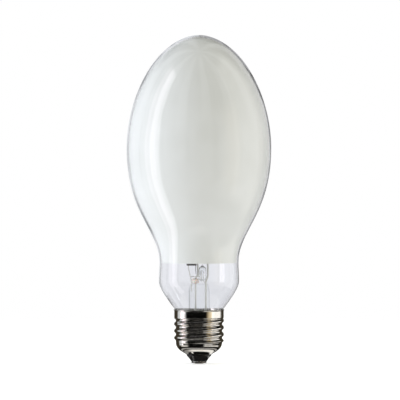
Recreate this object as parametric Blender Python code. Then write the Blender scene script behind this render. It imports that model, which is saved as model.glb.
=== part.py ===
"""High pressure sodium lamp: coated elliptical bulb, screw cap and the mount inside.

The origin is on the flat of the centre contact, +Z runs up the lamp's axis to the dome,
+X is the side of the return lead and -Y is the front. Lengths are in metres.
"""
import math

import bmesh
import bpy
from mathutils import Matrix, Vector

MM = 0.001

# General fits
SEAT_GAP = 0.3 * MM
MERGE_DISTANCE = 0.0001 * MM

# Centre contact and its solder
CONTACT_RADIUS = 4.1 * MM
CONTACT_HEIGHT = 1.2 * MM
CONTACT_EDGE = 0.3 * MM
CONTACT_RECESS_RADIUS = 2.6 * MM
CONTACT_RECESS_ROOF = 0.15 * MM
COLLAR_RADIUS = 1.4 * MM
COLLAR_LENGTH = 2.0 * MM
SOLDER_RADIUS = 2.2 * MM
SOLDER_FLAT_RADIUS = 1.9 * MM

# Glass insulator, whose seat is a stretch of the shell's base curve
INSULATOR_FOOT_RADIUS = 4.45 * MM
INSULATOR_HEIGHT = 3.6 * MM
INSULATOR_FLANGE = 1.0 * MM
INSULATOR_EDGE = 0.2 * MM
INSULATOR_SEAT_START = 0.12
INSULATOR_SEAT_END = 0.35

# Screw shell, whose base curve has handles given as shares of its height
SHEET = 0.3 * MM
MOUTH_RADIUS = 6.75 * MM
SHELL_BASE_HEIGHT = 5.9 * MM
SHELL_BASE_ANGLE = math.radians(28.0)
SHELL_BASE_LOW_HANDLE = 0.58
SHELL_BASE_HIGH_HANDLE = 0.44
SHELL_BASE_ROWS = 5
THREAD_PITCH = 3.629 * MM
THREAD_CREST_RADIUS = 13.1 * MM
THREAD_DEPTH = 0.95 * MM
THREAD_LENGTH = 13.4 * MM
THREAD_FADE = 1.2 * MM
THREAD_START = math.radians(-90.0)
BAND_RADIUS = 13.0 * MM
BAND_HEIGHT = 4.2 * MM
LIP_HEIGHT = 1.0 * MM
LIP_RADIUS = 13.25 * MM

# Outer bulb, with heights above the cap's rim and curve handles as shares of the rise
GLASS_WALL = 0.9 * MM
NECK_RADIUS = 9.8 * MM
NECK_DEPTH = 15.2 * MM
NECK_STRAIGHT = 9.9 * MM
NECK_LOW_HANDLE = 0.17
NECK_HIGH_HANDLE = 0.3
BULGE_RADIUS = 21.05 * MM
BULGE_ABOVE_RIM = 14.9 * MM
BULGE_SHOULDER = 0.55
WAIST_RADIUS = 20.75 * MM
WAIST_ABOVE_RIM = 24.5 * MM
BODY_LOW_HANDLE = 0.284
BODY_HIGH_HANDLE = 0.575
BULB_RADIUS = 38.0 * MM
WIDEST_ABOVE_RIM = 84.8 * MM
DOME_HEIGHT = 59.6 * MM
DOME_FULLNESS = 1.9
COATING_THICKNESS = 0.2 * MM

# Capping cement
CEMENT_DEPTH = 14.0 * MM
CEMENT_TOP_DEPTH = 2.2 * MM

# Glass stem and its pump tube
STEM_RADIUS = 5.65 * MM
STEM_WALL = 1.0 * MM
FLARE_HEIGHT = 9.0 * MM
FLARE_LIP = 0.9 * MM
PRESS_TOP_ABOVE_RIM = 13.3 * MM
PRESS_HEIGHT = 11.9 * MM
PRESS_THICKNESS = 4.2 * MM
PRESS_TAPER = 4.0 * MM
PRESS_EDGE = 0.5 * MM
PRESS_SQUARENESS = 5.0
PUMP_TUBE_RADIUS = 1.75 * MM
PUMP_TUBE_BORE = 1.15 * MM
PUMP_TUBE_X = 0.85 * MM
PUMP_TIP_LENGTH = 2.2 * MM

# Wires and rods
ROD_RADIUS = 0.5 * MM
LEAD_RADIUS = 0.25 * MM
POST_RADIUS = 0.25 * MM
FINE_WIRE_RADIUS = 0.2 * MM
ROD_TAIL = 4.1 * MM
FRAME_ROD_X = -1.84 * MM
RETURN_ROD_X = 3.5 * MM
POST_X = -3.9 * MM
POST_DEPTH = 3.8 * MM
FRAME_JOG_X = -0.4 * MM
FRAME_JOG_LEAN = 0.4 * MM
FRAME_OFFSET = 8.5 * MM
FRAME_BEND_BELOW_STRAP = 2.3 * MM
RETURN_OFFSET = 4.6 * MM
BEND_RADIUS = 3.0 * MM
SMALL_BEND = 1.0 * MM

# Thermal switch over the press
BEAD_RADIUS = 1.8 * MM
BEAD_HEIGHT = 2.6 * MM
BEAD_EDGE = 0.35 * MM
BRIDGE_ABOVE_PRESS = 10.3 * MM
BRIDGE_HEIGHT = 1.0 * MM
BRIDGE_SHEET = 0.4 * MM
BRIDGE_PAST_BLADE = 0.5 * MM
POST_LEAN = 1.7 * MM
BLADE_LENGTH = 5.6 * MM
BLADE_WIDTH = 2.0 * MM
BLADE_SHEET = 0.3 * MM
BLADE_LEAN = 0.35 * MM

# Glow starter
STARTER_RADIUS = 2.0 * MM
STARTER_WALL = 0.4 * MM
STARTER_HEIGHT = 7.4 * MM
STARTER_ABOVE_PRESS = 2.1 * MM
STARTER_X = 1.8 * MM
STARTER_Y = -2.3 * MM
STARTER_MOUTH_RADIUS = 1.0 * MM
STARTER_LEAD_SPACING = 1.0 * MM
STARTER_HOOK_SHEET = 0.15 * MM

# Getter
GETTER_RADIUS = 4.0 * MM
GETTER_SECTION = 0.9 * MM
GETTER_ABOVE_PRESS = 17.0 * MM

# Arc tube, with its middle at the light centre
ARC_TUBE_LENGTH = 76.0 * MM
ARC_TUBE_RADIUS = 3.8 * MM
ARC_TUBE_WALL = 0.8 * MM
PLUG_LENGTH = 4.0 * MM
FEEDTHROUGH_RADIUS = 1.5 * MM
FEEDTHROUGH_WALL = 0.4 * MM
FEEDTHROUGH_LENGTH = 13.0 * MM
FEEDTHROUGH_INSIDE = 6.0 * MM
ELECTRODE_RADIUS = 0.45 * MM
ELECTRODE_LENGTH = 7.6 * MM
ELECTRODE_COIL_RADIUS = 0.95 * MM
ELECTRODE_COIL_TURNS = 4
PELLET_RADIUS = 0.45 * MM
IGNITION_TURNS = 5
IGNITION_MARGIN = 9.0 * MM
STRAP_HEIGHT = 3.0 * MM
STRAP_SHEET = 0.4 * MM
STRAP_FROM_END = 2.0 * MM

# Spring at the top of the frame
SPIDER_DROP = 11.0 * MM
SPIDER_CURVE = 1.6
SPIDER_WIDTH = 3.0 * MM
SPIDER_SHEET = 0.3 * MM
SPIDER_PAD = 3.0 * MM
FRAME_STUB = 2.0 * MM

# Rim solder
RIM_SOLDER_WIDTH = 2.6 * MM
RIM_SOLDER_HEIGHT = 1.8 * MM
RIM_SOLDER_DEPTH = 1.1 * MM

# Facets
BULB_SEGMENTS = 28
CAP_SEGMENTS = 24
SMALL_SEGMENTS = 16
TINY_SEGMENTS = 12
FINE_SEGMENTS = 8
ROWS_PER_PITCH = 5

# Heights worked out from the sizes above
CONTACT_TOP = CONTACT_HEIGHT
INSULATOR_FOOT = CONTACT_TOP + SEAT_GAP
MOUTH_Z = INSULATOR_FOOT + INSULATOR_HEIGHT
THREAD_BOTTOM = MOUTH_Z + SHELL_BASE_HEIGHT
THREAD_TOP = THREAD_BOTTOM + THREAD_LENGTH
RIM_Z = THREAD_TOP + BAND_HEIGHT
NECK_BOTTOM = RIM_Z - NECK_DEPTH
NECK_CURVE_START = NECK_BOTTOM + NECK_STRAIGHT
BULGE_Z = RIM_Z + BULGE_ABOVE_RIM
WAIST_Z = RIM_Z + WAIST_ABOVE_RIM
WIDEST_Z = RIM_Z + WIDEST_ABOVE_RIM
TOP_Z = WIDEST_Z + DOME_HEIGHT
PRESS_TOP = RIM_Z + PRESS_TOP_ABOVE_RIM
PRESS_BOTTOM = PRESS_TOP - PRESS_HEIGHT
FLARE_BOTTOM = NECK_BOTTOM - SEAT_GAP - FLARE_LIP
LIGHT_CENTRE = (PRESS_TOP + TOP_Z) / 2.0
COATED_TOP_Z = TOP_Z - GLASS_WALL - SEAT_GAP - COATING_THICKNESS
THREAD_ROOT_RADIUS = THREAD_CREST_RADIUS - THREAD_DEPTH


def clear_scene():
    """Remove every object that the scene starts with."""
    for obj in list(bpy.data.objects):
        bpy.data.objects.remove(obj, do_unlink=True)


def make_material(name, colour, roughness, metallic=0.0, transmission=0.0):
    """Return a Principled material."""
    material = bpy.data.materials.new(name)
    material.use_nodes = True
    shader = material.node_tree.nodes["Principled BSDF"]
    shader.inputs["Base Color"].default_value = (*colour, 1.0)
    shader.inputs["Roughness"].default_value = roughness
    shader.inputs["Metallic"].default_value = metallic
    shader.inputs["Transmission Weight"].default_value = transmission
    material.diffuse_color = (*colour, 1.0)
    return material


def add_object(name, data, material):
    """Put mesh or curve data into the scene with its material."""
    obj = bpy.data.objects.new(name, data)
    bpy.context.collection.objects.link(obj)
    data.materials.append(material)
    return obj


def mesh_object(name, bm, material, sharp_angle=math.radians(40.0)):
    """Turn a bmesh into an object with smooth round faces."""
    bmesh.ops.recalc_face_normals(bm, faces=bm.faces)
    mesh = bpy.data.meshes.new(name)
    bm.to_mesh(mesh)
    bm.free()
    mesh.shade_smooth()
    mesh.set_sharp_from_angle(angle=sharp_angle)
    return add_object(name, mesh, material)


def lathe(name, outline, material, segments, ring=False, location=(0.0, 0.0, 0.0)):
    """Spin an (r, z) outline round Z. It starts and ends on the axis, unless it is a ring."""
    bm = bmesh.new()
    verts = [bm.verts.new((radius, 0.0, height)) for radius, height in outline]
    edges = [bm.edges.new(pair) for pair in zip(verts, verts[1:])]
    if ring:
        edges.append(bm.edges.new((verts[-1], verts[0])))
    bmesh.ops.spin(
        bm, geom=verts + edges, cent=(0.0, 0.0, 0.0), axis=(0.0, 0.0, 1.0),
        angle=2.0 * math.pi, steps=segments, use_merge=True)
    bmesh.ops.remove_doubles(bm, verts=bm.verts, dist=MERGE_DISTANCE)
    obj = mesh_object(name, bm, material)
    obj.location = location
    return obj


def sector(name, outline, material, segments, start, sweep):
    """Turn a closed (r, z) outline through part of a circle and close both ends."""
    bm = bmesh.new()
    rings = []
    for step in range(segments + 1):
        angle = start + sweep * step / segments
        rings.append([
            bm.verts.new((radius * math.cos(angle), radius * math.sin(angle), height))
            for radius, height in outline])
    join_rings(bm, rings)
    bm.faces.new(rings[0])
    bm.faces.new(rings[-1])
    return mesh_object(name, bm, material)


def join_rings(bm, rings):
    """Add quads between neighbouring closed rings of the same length."""
    for low, high in zip(rings, rings[1:]):
        count = len(low)
        for index in range(count):
            after = (index + 1) % count
            bm.faces.new((low[index], low[after], high[after], high[index]))


def wire(name, points, radius, material):
    """Make a wire along the points, with flat ends. A rod gets more sides than a fine wire."""
    curve = bpy.data.curves.new(name, "CURVE")
    curve.dimensions = "3D"
    curve.bevel_depth = radius
    curve.bevel_resolution = 1 if radius >= ROD_RADIUS else 0
    curve.use_fill_caps = True
    spline = curve.splines.new("POLY")
    spline.points.add(len(points) - 1)
    for spline_point, point in zip(spline.points, points):
        spline_point.co = (*point, 1.0)
    spline.use_smooth = True
    return add_object(name, curve, material)


def strip(name, path, width, thickness, material, across):
    """Sweep a flat strip along a path. Its width lies along the across direction."""
    side = Vector(across).normalized()
    points = [Vector(point) for point in path]
    bm = bmesh.new()
    rings = []
    for index, point in enumerate(points):
        before = points[max(index - 1, 0)]
        after = points[min(index + 1, len(points) - 1)]
        normal = (after - before).cross(side).normalized()
        half_width = side * width / 2.0
        half_sheet = normal * thickness / 2.0
        corners = (-half_width - half_sheet, half_width - half_sheet,
                   half_width + half_sheet, half_sheet - half_width)
        rings.append([bm.verts.new(point + corner) for corner in corners])
    join_rings(bm, rings)
    bm.faces.new(rings[0])
    bm.faces.new(rings[-1])
    return mesh_object(name, bm, material)


def ball(name, size, location, material):
    """Make an ellipsoid of the given half sizes."""
    bm = bmesh.new()
    bmesh.ops.create_uvsphere(
        bm, u_segments=FINE_SEGMENTS, v_segments=FINE_SEGMENTS // 2, radius=1.0,
        matrix=Matrix.Diagonal((*size, 1.0)))
    obj = mesh_object(name, bm, material, math.radians(80.0))
    obj.location = location
    return obj


def bore(target, name, radius, x, low, high):
    """Cut a vertical round hole through the target between two heights."""
    bm = bmesh.new()
    bmesh.ops.create_cone(
        bm, cap_ends=True, segments=TINY_SEGMENTS, radius1=radius, radius2=radius,
        depth=high - low)
    mesh = bpy.data.meshes.new(name)
    bm.to_mesh(mesh)
    bm.free()
    cutter = bpy.data.objects.new(name, mesh)
    bpy.context.collection.objects.link(cutter)
    cutter.location = (x, 0.0, (low + high) / 2.0)
    cutter.hide_render = True
    cutter.display_type = "WIRE"
    cut = target.modifiers.new(name, "BOOLEAN")
    cut.operation = "DIFFERENCE"
    cut.object = cutter


def rounded_path(corners, radius, steps=2):
    """Return the corner points with each inner corner replaced by an arc."""
    points = [Vector(corner) for corner in corners]
    path = [points[0]]
    for before, corner, after in zip(points, points[1:], points[2:]):
        inward = (before - corner).normalized()
        outward = (after - corner).normalized()
        turn = math.pi - inward.angle(outward)
        if turn < 0.01:
            path.append(corner)
            continue
        room = 0.45 * min((before - corner).length, (after - corner).length)
        reach = min(radius * math.tan(turn / 2.0), room)
        arc_radius = reach / math.tan(turn / 2.0)
        centre = corner + (inward + outward).normalized() * math.hypot(arc_radius, reach)
        start = corner + inward * reach - centre
        end = corner + outward * reach - centre
        for step in range(steps + 1):
            share = step / steps
            arm = start * math.sin((1.0 - share) * turn) + end * math.sin(share * turn)
            path.append(centre + arm / math.sin(turn))
    path.append(points[-1])
    return path


def bezier(start, start_handle, end_handle, end, share):
    """Return a point on a cubic curve in the (r, z) plane."""
    rest = 1.0 - share
    weights = (rest ** 3, 3.0 * rest ** 2 * share, 3.0 * rest * share ** 2, share ** 3)
    knots = (start, start_handle, end_handle, end)
    return tuple(sum(w * knot[axis] for w, knot in zip(weights, knots)) for axis in (0, 1))


def arc(centre, radius, start, end, steps):
    """Return points on an arc. Angles are in degrees."""
    angles = [math.radians(start + (end - start) * step / steps) for step in range(steps + 1)]
    return [(centre[0] + radius * math.cos(a), centre[1] + radius * math.sin(a)) for a in angles]


def offset_outline(points, distance):
    """Move an (r, z) outline that runs upwards towards the axis side by a distance."""
    moved = []
    last = len(points) - 1
    for index, (radius, height) in enumerate(points):
        if index == last and radius == 0.0:
            moved.append((0.0, height - distance))
            continue
        before = points[max(index - 1, 0)]
        after = points[min(index + 1, last)]
        run = Vector((after[0] - before[0], after[1] - before[1])).normalized()
        moved.append((radius - run.y * distance, height + run.x * distance))
    return moved


def height_on(outline, height):
    """Return an outline's radius at a height, between its points."""
    for (low_r, low_z), (high_r, high_z) in zip(outline, outline[1:]):
        if low_z <= height <= high_z:
            return low_r + (high_r - low_r) * (height - low_z) / (high_z - low_z)
    return outline[-1][0]


def neck_outline(steps=6):
    """Return the bulb's outline from its lower end to the bulge over the cap."""
    rise = BULGE_Z - NECK_CURVE_START
    start = (NECK_RADIUS, NECK_CURVE_START)
    low_handle = (NECK_RADIUS, NECK_CURVE_START + NECK_LOW_HANDLE * rise)
    high_handle = (BULGE_RADIUS, BULGE_Z - NECK_HIGH_HANDLE * rise)
    end = (BULGE_RADIUS, BULGE_Z)
    curve = [bezier(start, low_handle, high_handle, end, step / steps) for step in range(steps + 1)]
    return [(NECK_RADIUS, NECK_BOTTOM)] + curve


def body_outline(steps=6):
    """Return the bulb's outline from the waist to its widest ring."""
    rise = WIDEST_Z - WAIST_Z
    start = (WAIST_RADIUS, WAIST_Z)
    low_handle = (WAIST_RADIUS, WAIST_Z + BODY_LOW_HANDLE * rise)
    high_handle = (BULB_RADIUS, WIDEST_Z - BODY_HIGH_HANDLE * rise)
    end = (BULB_RADIUS, WIDEST_Z)
    return [bezier(start, low_handle, high_handle, end, step / steps) for step in range(steps + 1)]


def dome_outline(steps=8):
    """Return the dome's outline above the widest ring, up to the pole."""
    power = 2.0 / DOME_FULLNESS
    outline = []
    for step in range(1, steps):
        angle = 0.5 * math.pi * step / steps
        outline.append((BULB_RADIUS * math.cos(angle) ** power,
                        WIDEST_Z + DOME_HEIGHT * math.sin(angle) ** power))
    outline.append((0.0, TOP_Z))
    return outline


def coated_outline():
    """Return the outside of the glass where its inside is coated."""
    return body_outline() + dome_outline()


def bulb_outline():
    """Return the whole outside of the glass bulb."""
    shoulder_z = BULGE_Z + BULGE_SHOULDER * (WAIST_Z - BULGE_Z)
    shoulder = ((BULGE_RADIUS + WAIST_RADIUS) / 2.0, shoulder_z)
    return neck_outline() + [shoulder] + coated_outline()


def coating_inside():
    """Return the inner face of the coating."""
    return offset_outline(coated_outline(), GLASS_WALL + SEAT_GAP + COATING_THICKNESS)


def build_outer_bulb(material):
    """Blown glass bulb, open at the lower end of its neck."""
    outside = bulb_outline()
    inside = offset_outline(outside, GLASS_WALL)
    lathe("outer_bulb", outside[::-1] + inside, material, BULB_SEGMENTS)


def build_coating(material):
    """White diffusing layer inside the glass, from the waist up."""
    outside = offset_outline(coated_outline(), GLASS_WALL + SEAT_GAP)
    lathe("diffuser_coating", outside[::-1] + coating_inside(), material, BULB_SEGMENTS)


def shell_base_point(share, inset=0.0):
    """Return a point of the shell's rounded base, moved inwards by an inset."""
    run = SHELL_BASE_LOW_HANDLE * SHELL_BASE_HEIGHT
    start = (MOUTH_RADIUS, MOUTH_Z)
    low_handle = (MOUTH_RADIUS + run * math.cos(SHELL_BASE_ANGLE),
                  MOUTH_Z + run * math.sin(SHELL_BASE_ANGLE))
    high_handle = (THREAD_ROOT_RADIUS, THREAD_BOTTOM - SHELL_BASE_HIGH_HANDLE * SHELL_BASE_HEIGHT)
    end = (THREAD_ROOT_RADIUS, THREAD_BOTTOM)
    point = bezier(start, low_handle, high_handle, end, share)
    ahead = bezier(start, low_handle, high_handle, end, share + 0.01)
    run = Vector((ahead[0] - point[0], ahead[1] - point[1])).normalized()
    return (point[0] - run.y * inset, point[1] + run.x * inset)


def thread_radius(height, angle):
    """Return the rolled thread's radius, made of round crests and round roots."""
    turns = (height - THREAD_BOTTOM) / THREAD_PITCH - (angle - THREAD_START) / (2.0 * math.pi)
    half_pitch = THREAD_PITCH / 2.0
    from_crest = abs(turns - round(turns)) * THREAD_PITCH
    arc_radius = (half_pitch ** 2 + THREAD_DEPTH ** 2) / (4.0 * THREAD_DEPTH)
    if from_crest < half_pitch / 2.0:
        drop = arc_radius - math.sqrt(arc_radius ** 2 - from_crest ** 2)
        rise = THREAD_DEPTH - drop
    else:
        rise = arc_radius - math.sqrt(arc_radius ** 2 - (half_pitch - from_crest) ** 2)
    fade_in = min(1.0, max(0.0, (height - THREAD_BOTTOM) / THREAD_FADE))
    fade_out = min(1.0, max(0.0, (height - THREAD_TOP + THREAD_FADE) / THREAD_FADE))
    threaded = THREAD_ROOT_RADIUS + rise * fade_in
    return threaded + (BAND_RADIUS - threaded) * fade_out


def build_cap_shell(material):
    """Screw shell rolled from thin sheet, with its rim, band, thread and rounded base."""
    bm = bmesh.new()
    angles = [2.0 * math.pi * step / CAP_SEGMENTS for step in range(CAP_SEGMENTS)]
    rows = []
    for step in range(SHELL_BASE_ROWS):
        radius, height = shell_base_point(step / SHELL_BASE_ROWS)
        rows.append([(radius, height)] * CAP_SEGMENTS)
    count = round(THREAD_LENGTH / THREAD_PITCH * ROWS_PER_PITCH)
    for step in range(count + 1):
        height = THREAD_BOTTOM + THREAD_LENGTH * step / count
        rows.append([(thread_radius(height, angle), height) for angle in angles])
    rows.append([(BAND_RADIUS, RIM_Z - LIP_HEIGHT)] * CAP_SEGMENTS)
    rows.append([(LIP_RADIUS, RIM_Z)] * CAP_SEGMENTS)
    rings = [
        [bm.verts.new((radius * math.cos(angle), radius * math.sin(angle), height))
         for (radius, height), angle in zip(row, angles)]
        for row in rows]
    join_rings(bm, rings)
    mesh = bpy.data.meshes.new("cap_shell")
    bm.to_mesh(mesh)
    bm.free()
    mesh.shade_smooth()
    obj = add_object("cap_shell", mesh, material)
    sheet = obj.modifiers.new("sheet", "SOLIDIFY")
    sheet.thickness = SHEET
    sheet.offset = -1.0
    sheet.use_even_offset = True


def insulator_top():
    """Return the height of the insulator's flat upper face."""
    return shell_base_point(INSULATOR_SEAT_END, SHEET + SEAT_GAP)[1] + INSULATOR_FLANGE


def build_insulator(material):
    """Glass insulator: a cone under the shell, a waist in its mouth and a flange inside it."""
    waist = MOUTH_RADIUS - SHEET - SEAT_GAP / 2.0
    seat_inset = SHEET + SEAT_GAP
    seat_near = shell_base_point(INSULATOR_SEAT_START, seat_inset)
    seat_far = shell_base_point(INSULATOR_SEAT_END, seat_inset)
    hole = LEAD_RADIUS + SEAT_GAP
    collar_hole = COLLAR_RADIUS + SEAT_GAP
    collar_top = CONTACT_TOP + COLLAR_LENGTH + SEAT_GAP
    outline = [
        (collar_hole, INSULATOR_FOOT),
        (INSULATOR_FOOT_RADIUS, INSULATOR_FOOT),
        (MOUTH_RADIUS - INSULATOR_EDGE, MOUTH_Z - SEAT_GAP),
        (waist, MOUTH_Z),
        (waist, seat_near[1]),
        seat_far,
        (seat_far[0] - INSULATOR_EDGE, insulator_top()),
        (hole, insulator_top()),
        (hole, collar_top),
        (collar_hole, collar_top)]
    lathe("cap_insulator", outline, material, CAP_SEGMENTS, ring=True)


def recess_rise():
    """Return the height of the contact's solder recess above its lower rim."""
    return CONTACT_HEIGHT - CONTACT_EDGE - CONTACT_RECESS_ROOF


def build_centre_contact(material):
    """Domed contact plate with a collar in the insulator and a recess for the solder."""
    hole = LEAD_RADIUS + SEAT_GAP
    collar_top = CONTACT_TOP + COLLAR_LENGTH
    shoulder = CONTACT_RADIUS - CONTACT_RECESS_RADIUS
    outline = [
        (hole, CONTACT_EDGE + recess_rise()),
        (hole, collar_top),
        (COLLAR_RADIUS, collar_top),
        (COLLAR_RADIUS, CONTACT_TOP),
        (CONTACT_RADIUS, CONTACT_TOP),
        (CONTACT_RADIUS, CONTACT_TOP - 0.3 * CONTACT_HEIGHT),
        (CONTACT_RADIUS - 0.3 * shoulder, CONTACT_TOP - 0.55 * CONTACT_HEIGHT),
        (CONTACT_RECESS_RADIUS + 0.1 * shoulder, CONTACT_EDGE),
        (CONTACT_RECESS_RADIUS, CONTACT_EDGE)]
    lathe("centre_contact", outline, material, CAP_SEGMENTS, ring=True)


def solder_top():
    """Return the height of the solder's top, a gap below the recess."""
    return CONTACT_EDGE + recess_rise() - 1.2 * SEAT_GAP


def build_contact_solder(material):
    """Solder spot in the contact's recess. Its flat is the lamp's lowest face."""
    outline = [
        (0.0, solder_top()),
        (LEAD_RADIUS, solder_top()),
        (SOLDER_RADIUS, SEAT_GAP / 3.0),
        (SOLDER_FLAT_RADIUS, 0.0),
        (0.0, 0.0)]
    lathe("contact_solder", outline, material, SMALL_SEGMENTS)


def lead_channel_radius():
    """Return how far from the axis the shell lead climbs beside the neck."""
    return NECK_RADIUS + SEAT_GAP + LEAD_RADIUS


def build_cement(material):
    """Cement ring between neck and shell, open at the back for the shell lead."""
    neck = neck_outline(12)
    bottom = RIM_Z - CEMENT_DEPTH
    top = RIM_Z - CEMENT_TOP_DEPTH
    slope_gap = 1.2 * SEAT_GAP
    heights = [bottom, NECK_CURVE_START, (NECK_CURVE_START + top) / 2.0, top]
    inside = [(height_on(neck, height) + slope_gap, height) for height in heights]
    threaded = THREAD_ROOT_RADIUS - SHEET - SEAT_GAP
    banded = BAND_RADIUS - SHEET - SEAT_GAP
    outside = [(banded, top), (banded, THREAD_TOP + SEAT_GAP),
               (threaded, THREAD_TOP - THREAD_FADE), (threaded, bottom)]
    slot = 1.3 * math.asin((LEAD_RADIUS + SEAT_GAP) / NECK_RADIUS)
    sector("capping_cement", inside + outside, material, SMALL_SEGMENTS,
           math.pi / 2.0 + slot, 2.0 * math.pi - 2.0 * slot)


def build_rim_solder(material):
    """Solder joint of the shell lead, on the back of the cap's rim."""
    size = (RIM_SOLDER_WIDTH / 2.0, RIM_SOLDER_DEPTH / 2.0, RIM_SOLDER_HEIGHT / 2.0)
    distance = LIP_RADIUS + SEAT_GAP + RIM_SOLDER_DEPTH / 2.0
    ball("rim_solder", size, (0.0, distance, RIM_Z - RIM_SOLDER_HEIGHT / 2.0), material)


def oval(bm, height, half_x, half_y, power):
    """Add a ring of points on an oval. A power of 2 is an ellipse, more is squarer."""
    ring = []
    for step in range(SMALL_SEGMENTS):
        angle = 2.0 * math.pi * step / SMALL_SEGMENTS
        cosine = math.cos(angle)
        sine = math.sin(angle)
        x = math.copysign(half_x * abs(cosine) ** (2.0 / power), cosine)
        y = math.copysign(half_y * abs(sine) ** (2.0 / power), sine)
        ring.append(bm.verts.new((x, y, height)))
    return ring


def stem_cavity_radius():
    """Return the inner radius of the stem's tube."""
    return STEM_RADIUS - STEM_WALL


def press_cavity_half():
    """Return half the depth of the cavity just under the press."""
    return PRESS_THICKNESS / 2.0 - STEM_WALL


def build_stem(material):
    """Glass stem: flared foot, tube and flattened press, bored for the wires."""
    flare_lip = NECK_RADIUS
    lip_top = FLARE_BOTTOM + FLARE_LIP
    flare_top = FLARE_BOTTOM + FLARE_HEIGHT
    taper_low = PRESS_BOTTOM - PRESS_TAPER
    neck_inside = NECK_RADIUS - GLASS_WALL - SEAT_GAP
    cavity = stem_cavity_radius()
    press_half = PRESS_THICKNESS / 2.0
    flare_curve = FLARE_HEIGHT / 4.0
    flare_outside = (neck_inside + STEM_RADIUS) / 2.0
    flare_inside = (neck_inside + cavity) / 2.0
    outer = [
        (FLARE_BOTTOM, flare_lip, flare_lip, 2.0),
        (lip_top, flare_lip, flare_lip, 2.0),
        (lip_top, neck_inside, neck_inside, 2.0),
        (lip_top + flare_curve, flare_outside, flare_outside, 2.0),
        (flare_top, STEM_RADIUS, STEM_RADIUS, 2.0),
        (taper_low, STEM_RADIUS, STEM_RADIUS, 2.0),
        (PRESS_BOTTOM, STEM_RADIUS, press_half, PRESS_SQUARENESS),
        (PRESS_TOP - PRESS_EDGE, STEM_RADIUS, press_half, PRESS_SQUARENESS),
        (PRESS_TOP, STEM_RADIUS - PRESS_EDGE, press_half - PRESS_EDGE, PRESS_SQUARENESS)]
    inner = [
        (FLARE_BOTTOM, neck_inside, neck_inside, 2.0),
        (FLARE_BOTTOM + flare_curve, flare_inside, flare_inside, 2.0),
        (flare_top, cavity, cavity, 2.0),
        (taper_low, cavity, cavity, 2.0),
        (PRESS_BOTTOM, cavity, press_cavity_half(), PRESS_SQUARENESS)]
    bm = bmesh.new()
    outer_rings = [oval(bm, *section) for section in outer]
    inner_rings = [oval(bm, *section) for section in inner]
    join_rings(bm, inner_rings[::-1] + outer_rings)
    bm.faces.new(outer_rings[-1])
    bm.faces.new(inner_rings[-1])
    stem = mesh_object("glass_stem", bm, material)
    rod_bore = ROD_RADIUS + SEAT_GAP
    under = PRESS_BOTTOM - PRESS_EDGE
    over = PRESS_TOP + PRESS_EDGE
    bore(stem, "frame_bore", rod_bore, FRAME_ROD_X, under, over)
    bore(stem, "return_bore", rod_bore, RETURN_ROD_X, under, over)
    bore(stem, "post_bore", POST_RADIUS + SEAT_GAP, POST_X, PRESS_TOP - POST_DEPTH - SEAT_GAP, over)


def pump_tip_z():
    """Return the height of the sealed tip of the pump tube."""
    return insulator_top() + 2.0 * SEAT_GAP + 2.0 * LEAD_RADIUS + SEAT_GAP


def build_pump_tube(material):
    """Glass tube that the air was pumped out through, melted shut at its lower tip."""
    drop = (stem_cavity_radius() - PUMP_TUBE_RADIUS - 1.2 * SEAT_GAP)
    share = drop / (stem_cavity_radius() - press_cavity_half())
    top = PRESS_BOTTOM - PRESS_TAPER * (1.0 - share)
    tip = pump_tip_z()
    wall = PUMP_TUBE_RADIUS - PUMP_TUBE_BORE
    neck_z = tip + PUMP_TIP_LENGTH
    outline = [
        (0.0, tip),
        (0.3 * PUMP_TUBE_RADIUS, tip + 0.2 * wall),
        (0.65 * PUMP_TUBE_RADIUS, tip + 0.35 * PUMP_TIP_LENGTH),
        (PUMP_TUBE_RADIUS, neck_z),
        (PUMP_TUBE_RADIUS, top),
        (PUMP_TUBE_BORE, top),
        (PUMP_TUBE_BORE, neck_z + wall),
        (0.4 * PUMP_TUBE_BORE, tip + 0.5 * PUMP_TIP_LENGTH + wall),
        (0.0, tip + 0.5 * PUMP_TIP_LENGTH)]
    lathe("pump_tube", outline, material, TINY_SEGMENTS, location=(PUMP_TUBE_X, 0.0, 0.0))


def rod_bottom():
    """Return the height of the lower ends of the two rods, inside the stem's tube."""
    return PRESS_BOTTOM - ROD_TAIL


def build_contact_lead(material):
    """Thin lead from the return rod down to the solder of the centre contact."""
    level = insulator_top() + SEAT_GAP + LEAD_RADIUS
    corners = [
        (RETURN_ROD_X, 0.0, rod_bottom() - SEAT_GAP),
        (RETURN_ROD_X, 0.0, level),
        (0.0, 0.0, level),
        (0.0, 0.0, solder_top() + SEAT_GAP)]
    wire("contact_lead", rounded_path(corners, SMALL_BEND), LEAD_RADIUS, material)


def build_shell_lead(material):
    """Thin lead from the frame rod, under the flare and up beside the neck to the rim."""
    level = FLARE_BOTTOM - SEAT_GAP - LEAD_RADIUS
    channel = lead_channel_radius()
    end_z = RIM_Z - 0.8 * CEMENT_TOP_DEPTH
    end_radius = height_on(neck_outline(12), end_z) + 1.3 * SEAT_GAP + LEAD_RADIUS
    corners = [
        (FRAME_ROD_X, 0.0, rod_bottom() - SEAT_GAP),
        (FRAME_ROD_X, 0.0, level),
        (0.0, channel, level),
        (0.0, channel, NECK_CURVE_START - 0.5 * SMALL_BEND),
        (0.0, end_radius, end_z)]
    wire("shell_lead", rounded_path(corners, SMALL_BEND), LEAD_RADIUS, material)


def bead_top():
    """Return the height of the ceramic bead's upper face."""
    return PRESS_TOP + SEAT_GAP + BEAD_HEIGHT


def bridge_z():
    """Return the height of the middle of the switch bridge."""
    return PRESS_TOP + BRIDGE_ABOVE_PRESS


def upper_feedthrough_top():
    """Return the outer end of the upper feed-through."""
    return LIGHT_CENTRE + ARC_TUBE_LENGTH / 2.0 + FEEDTHROUGH_LENGTH - FEEDTHROUGH_INSIDE


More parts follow.
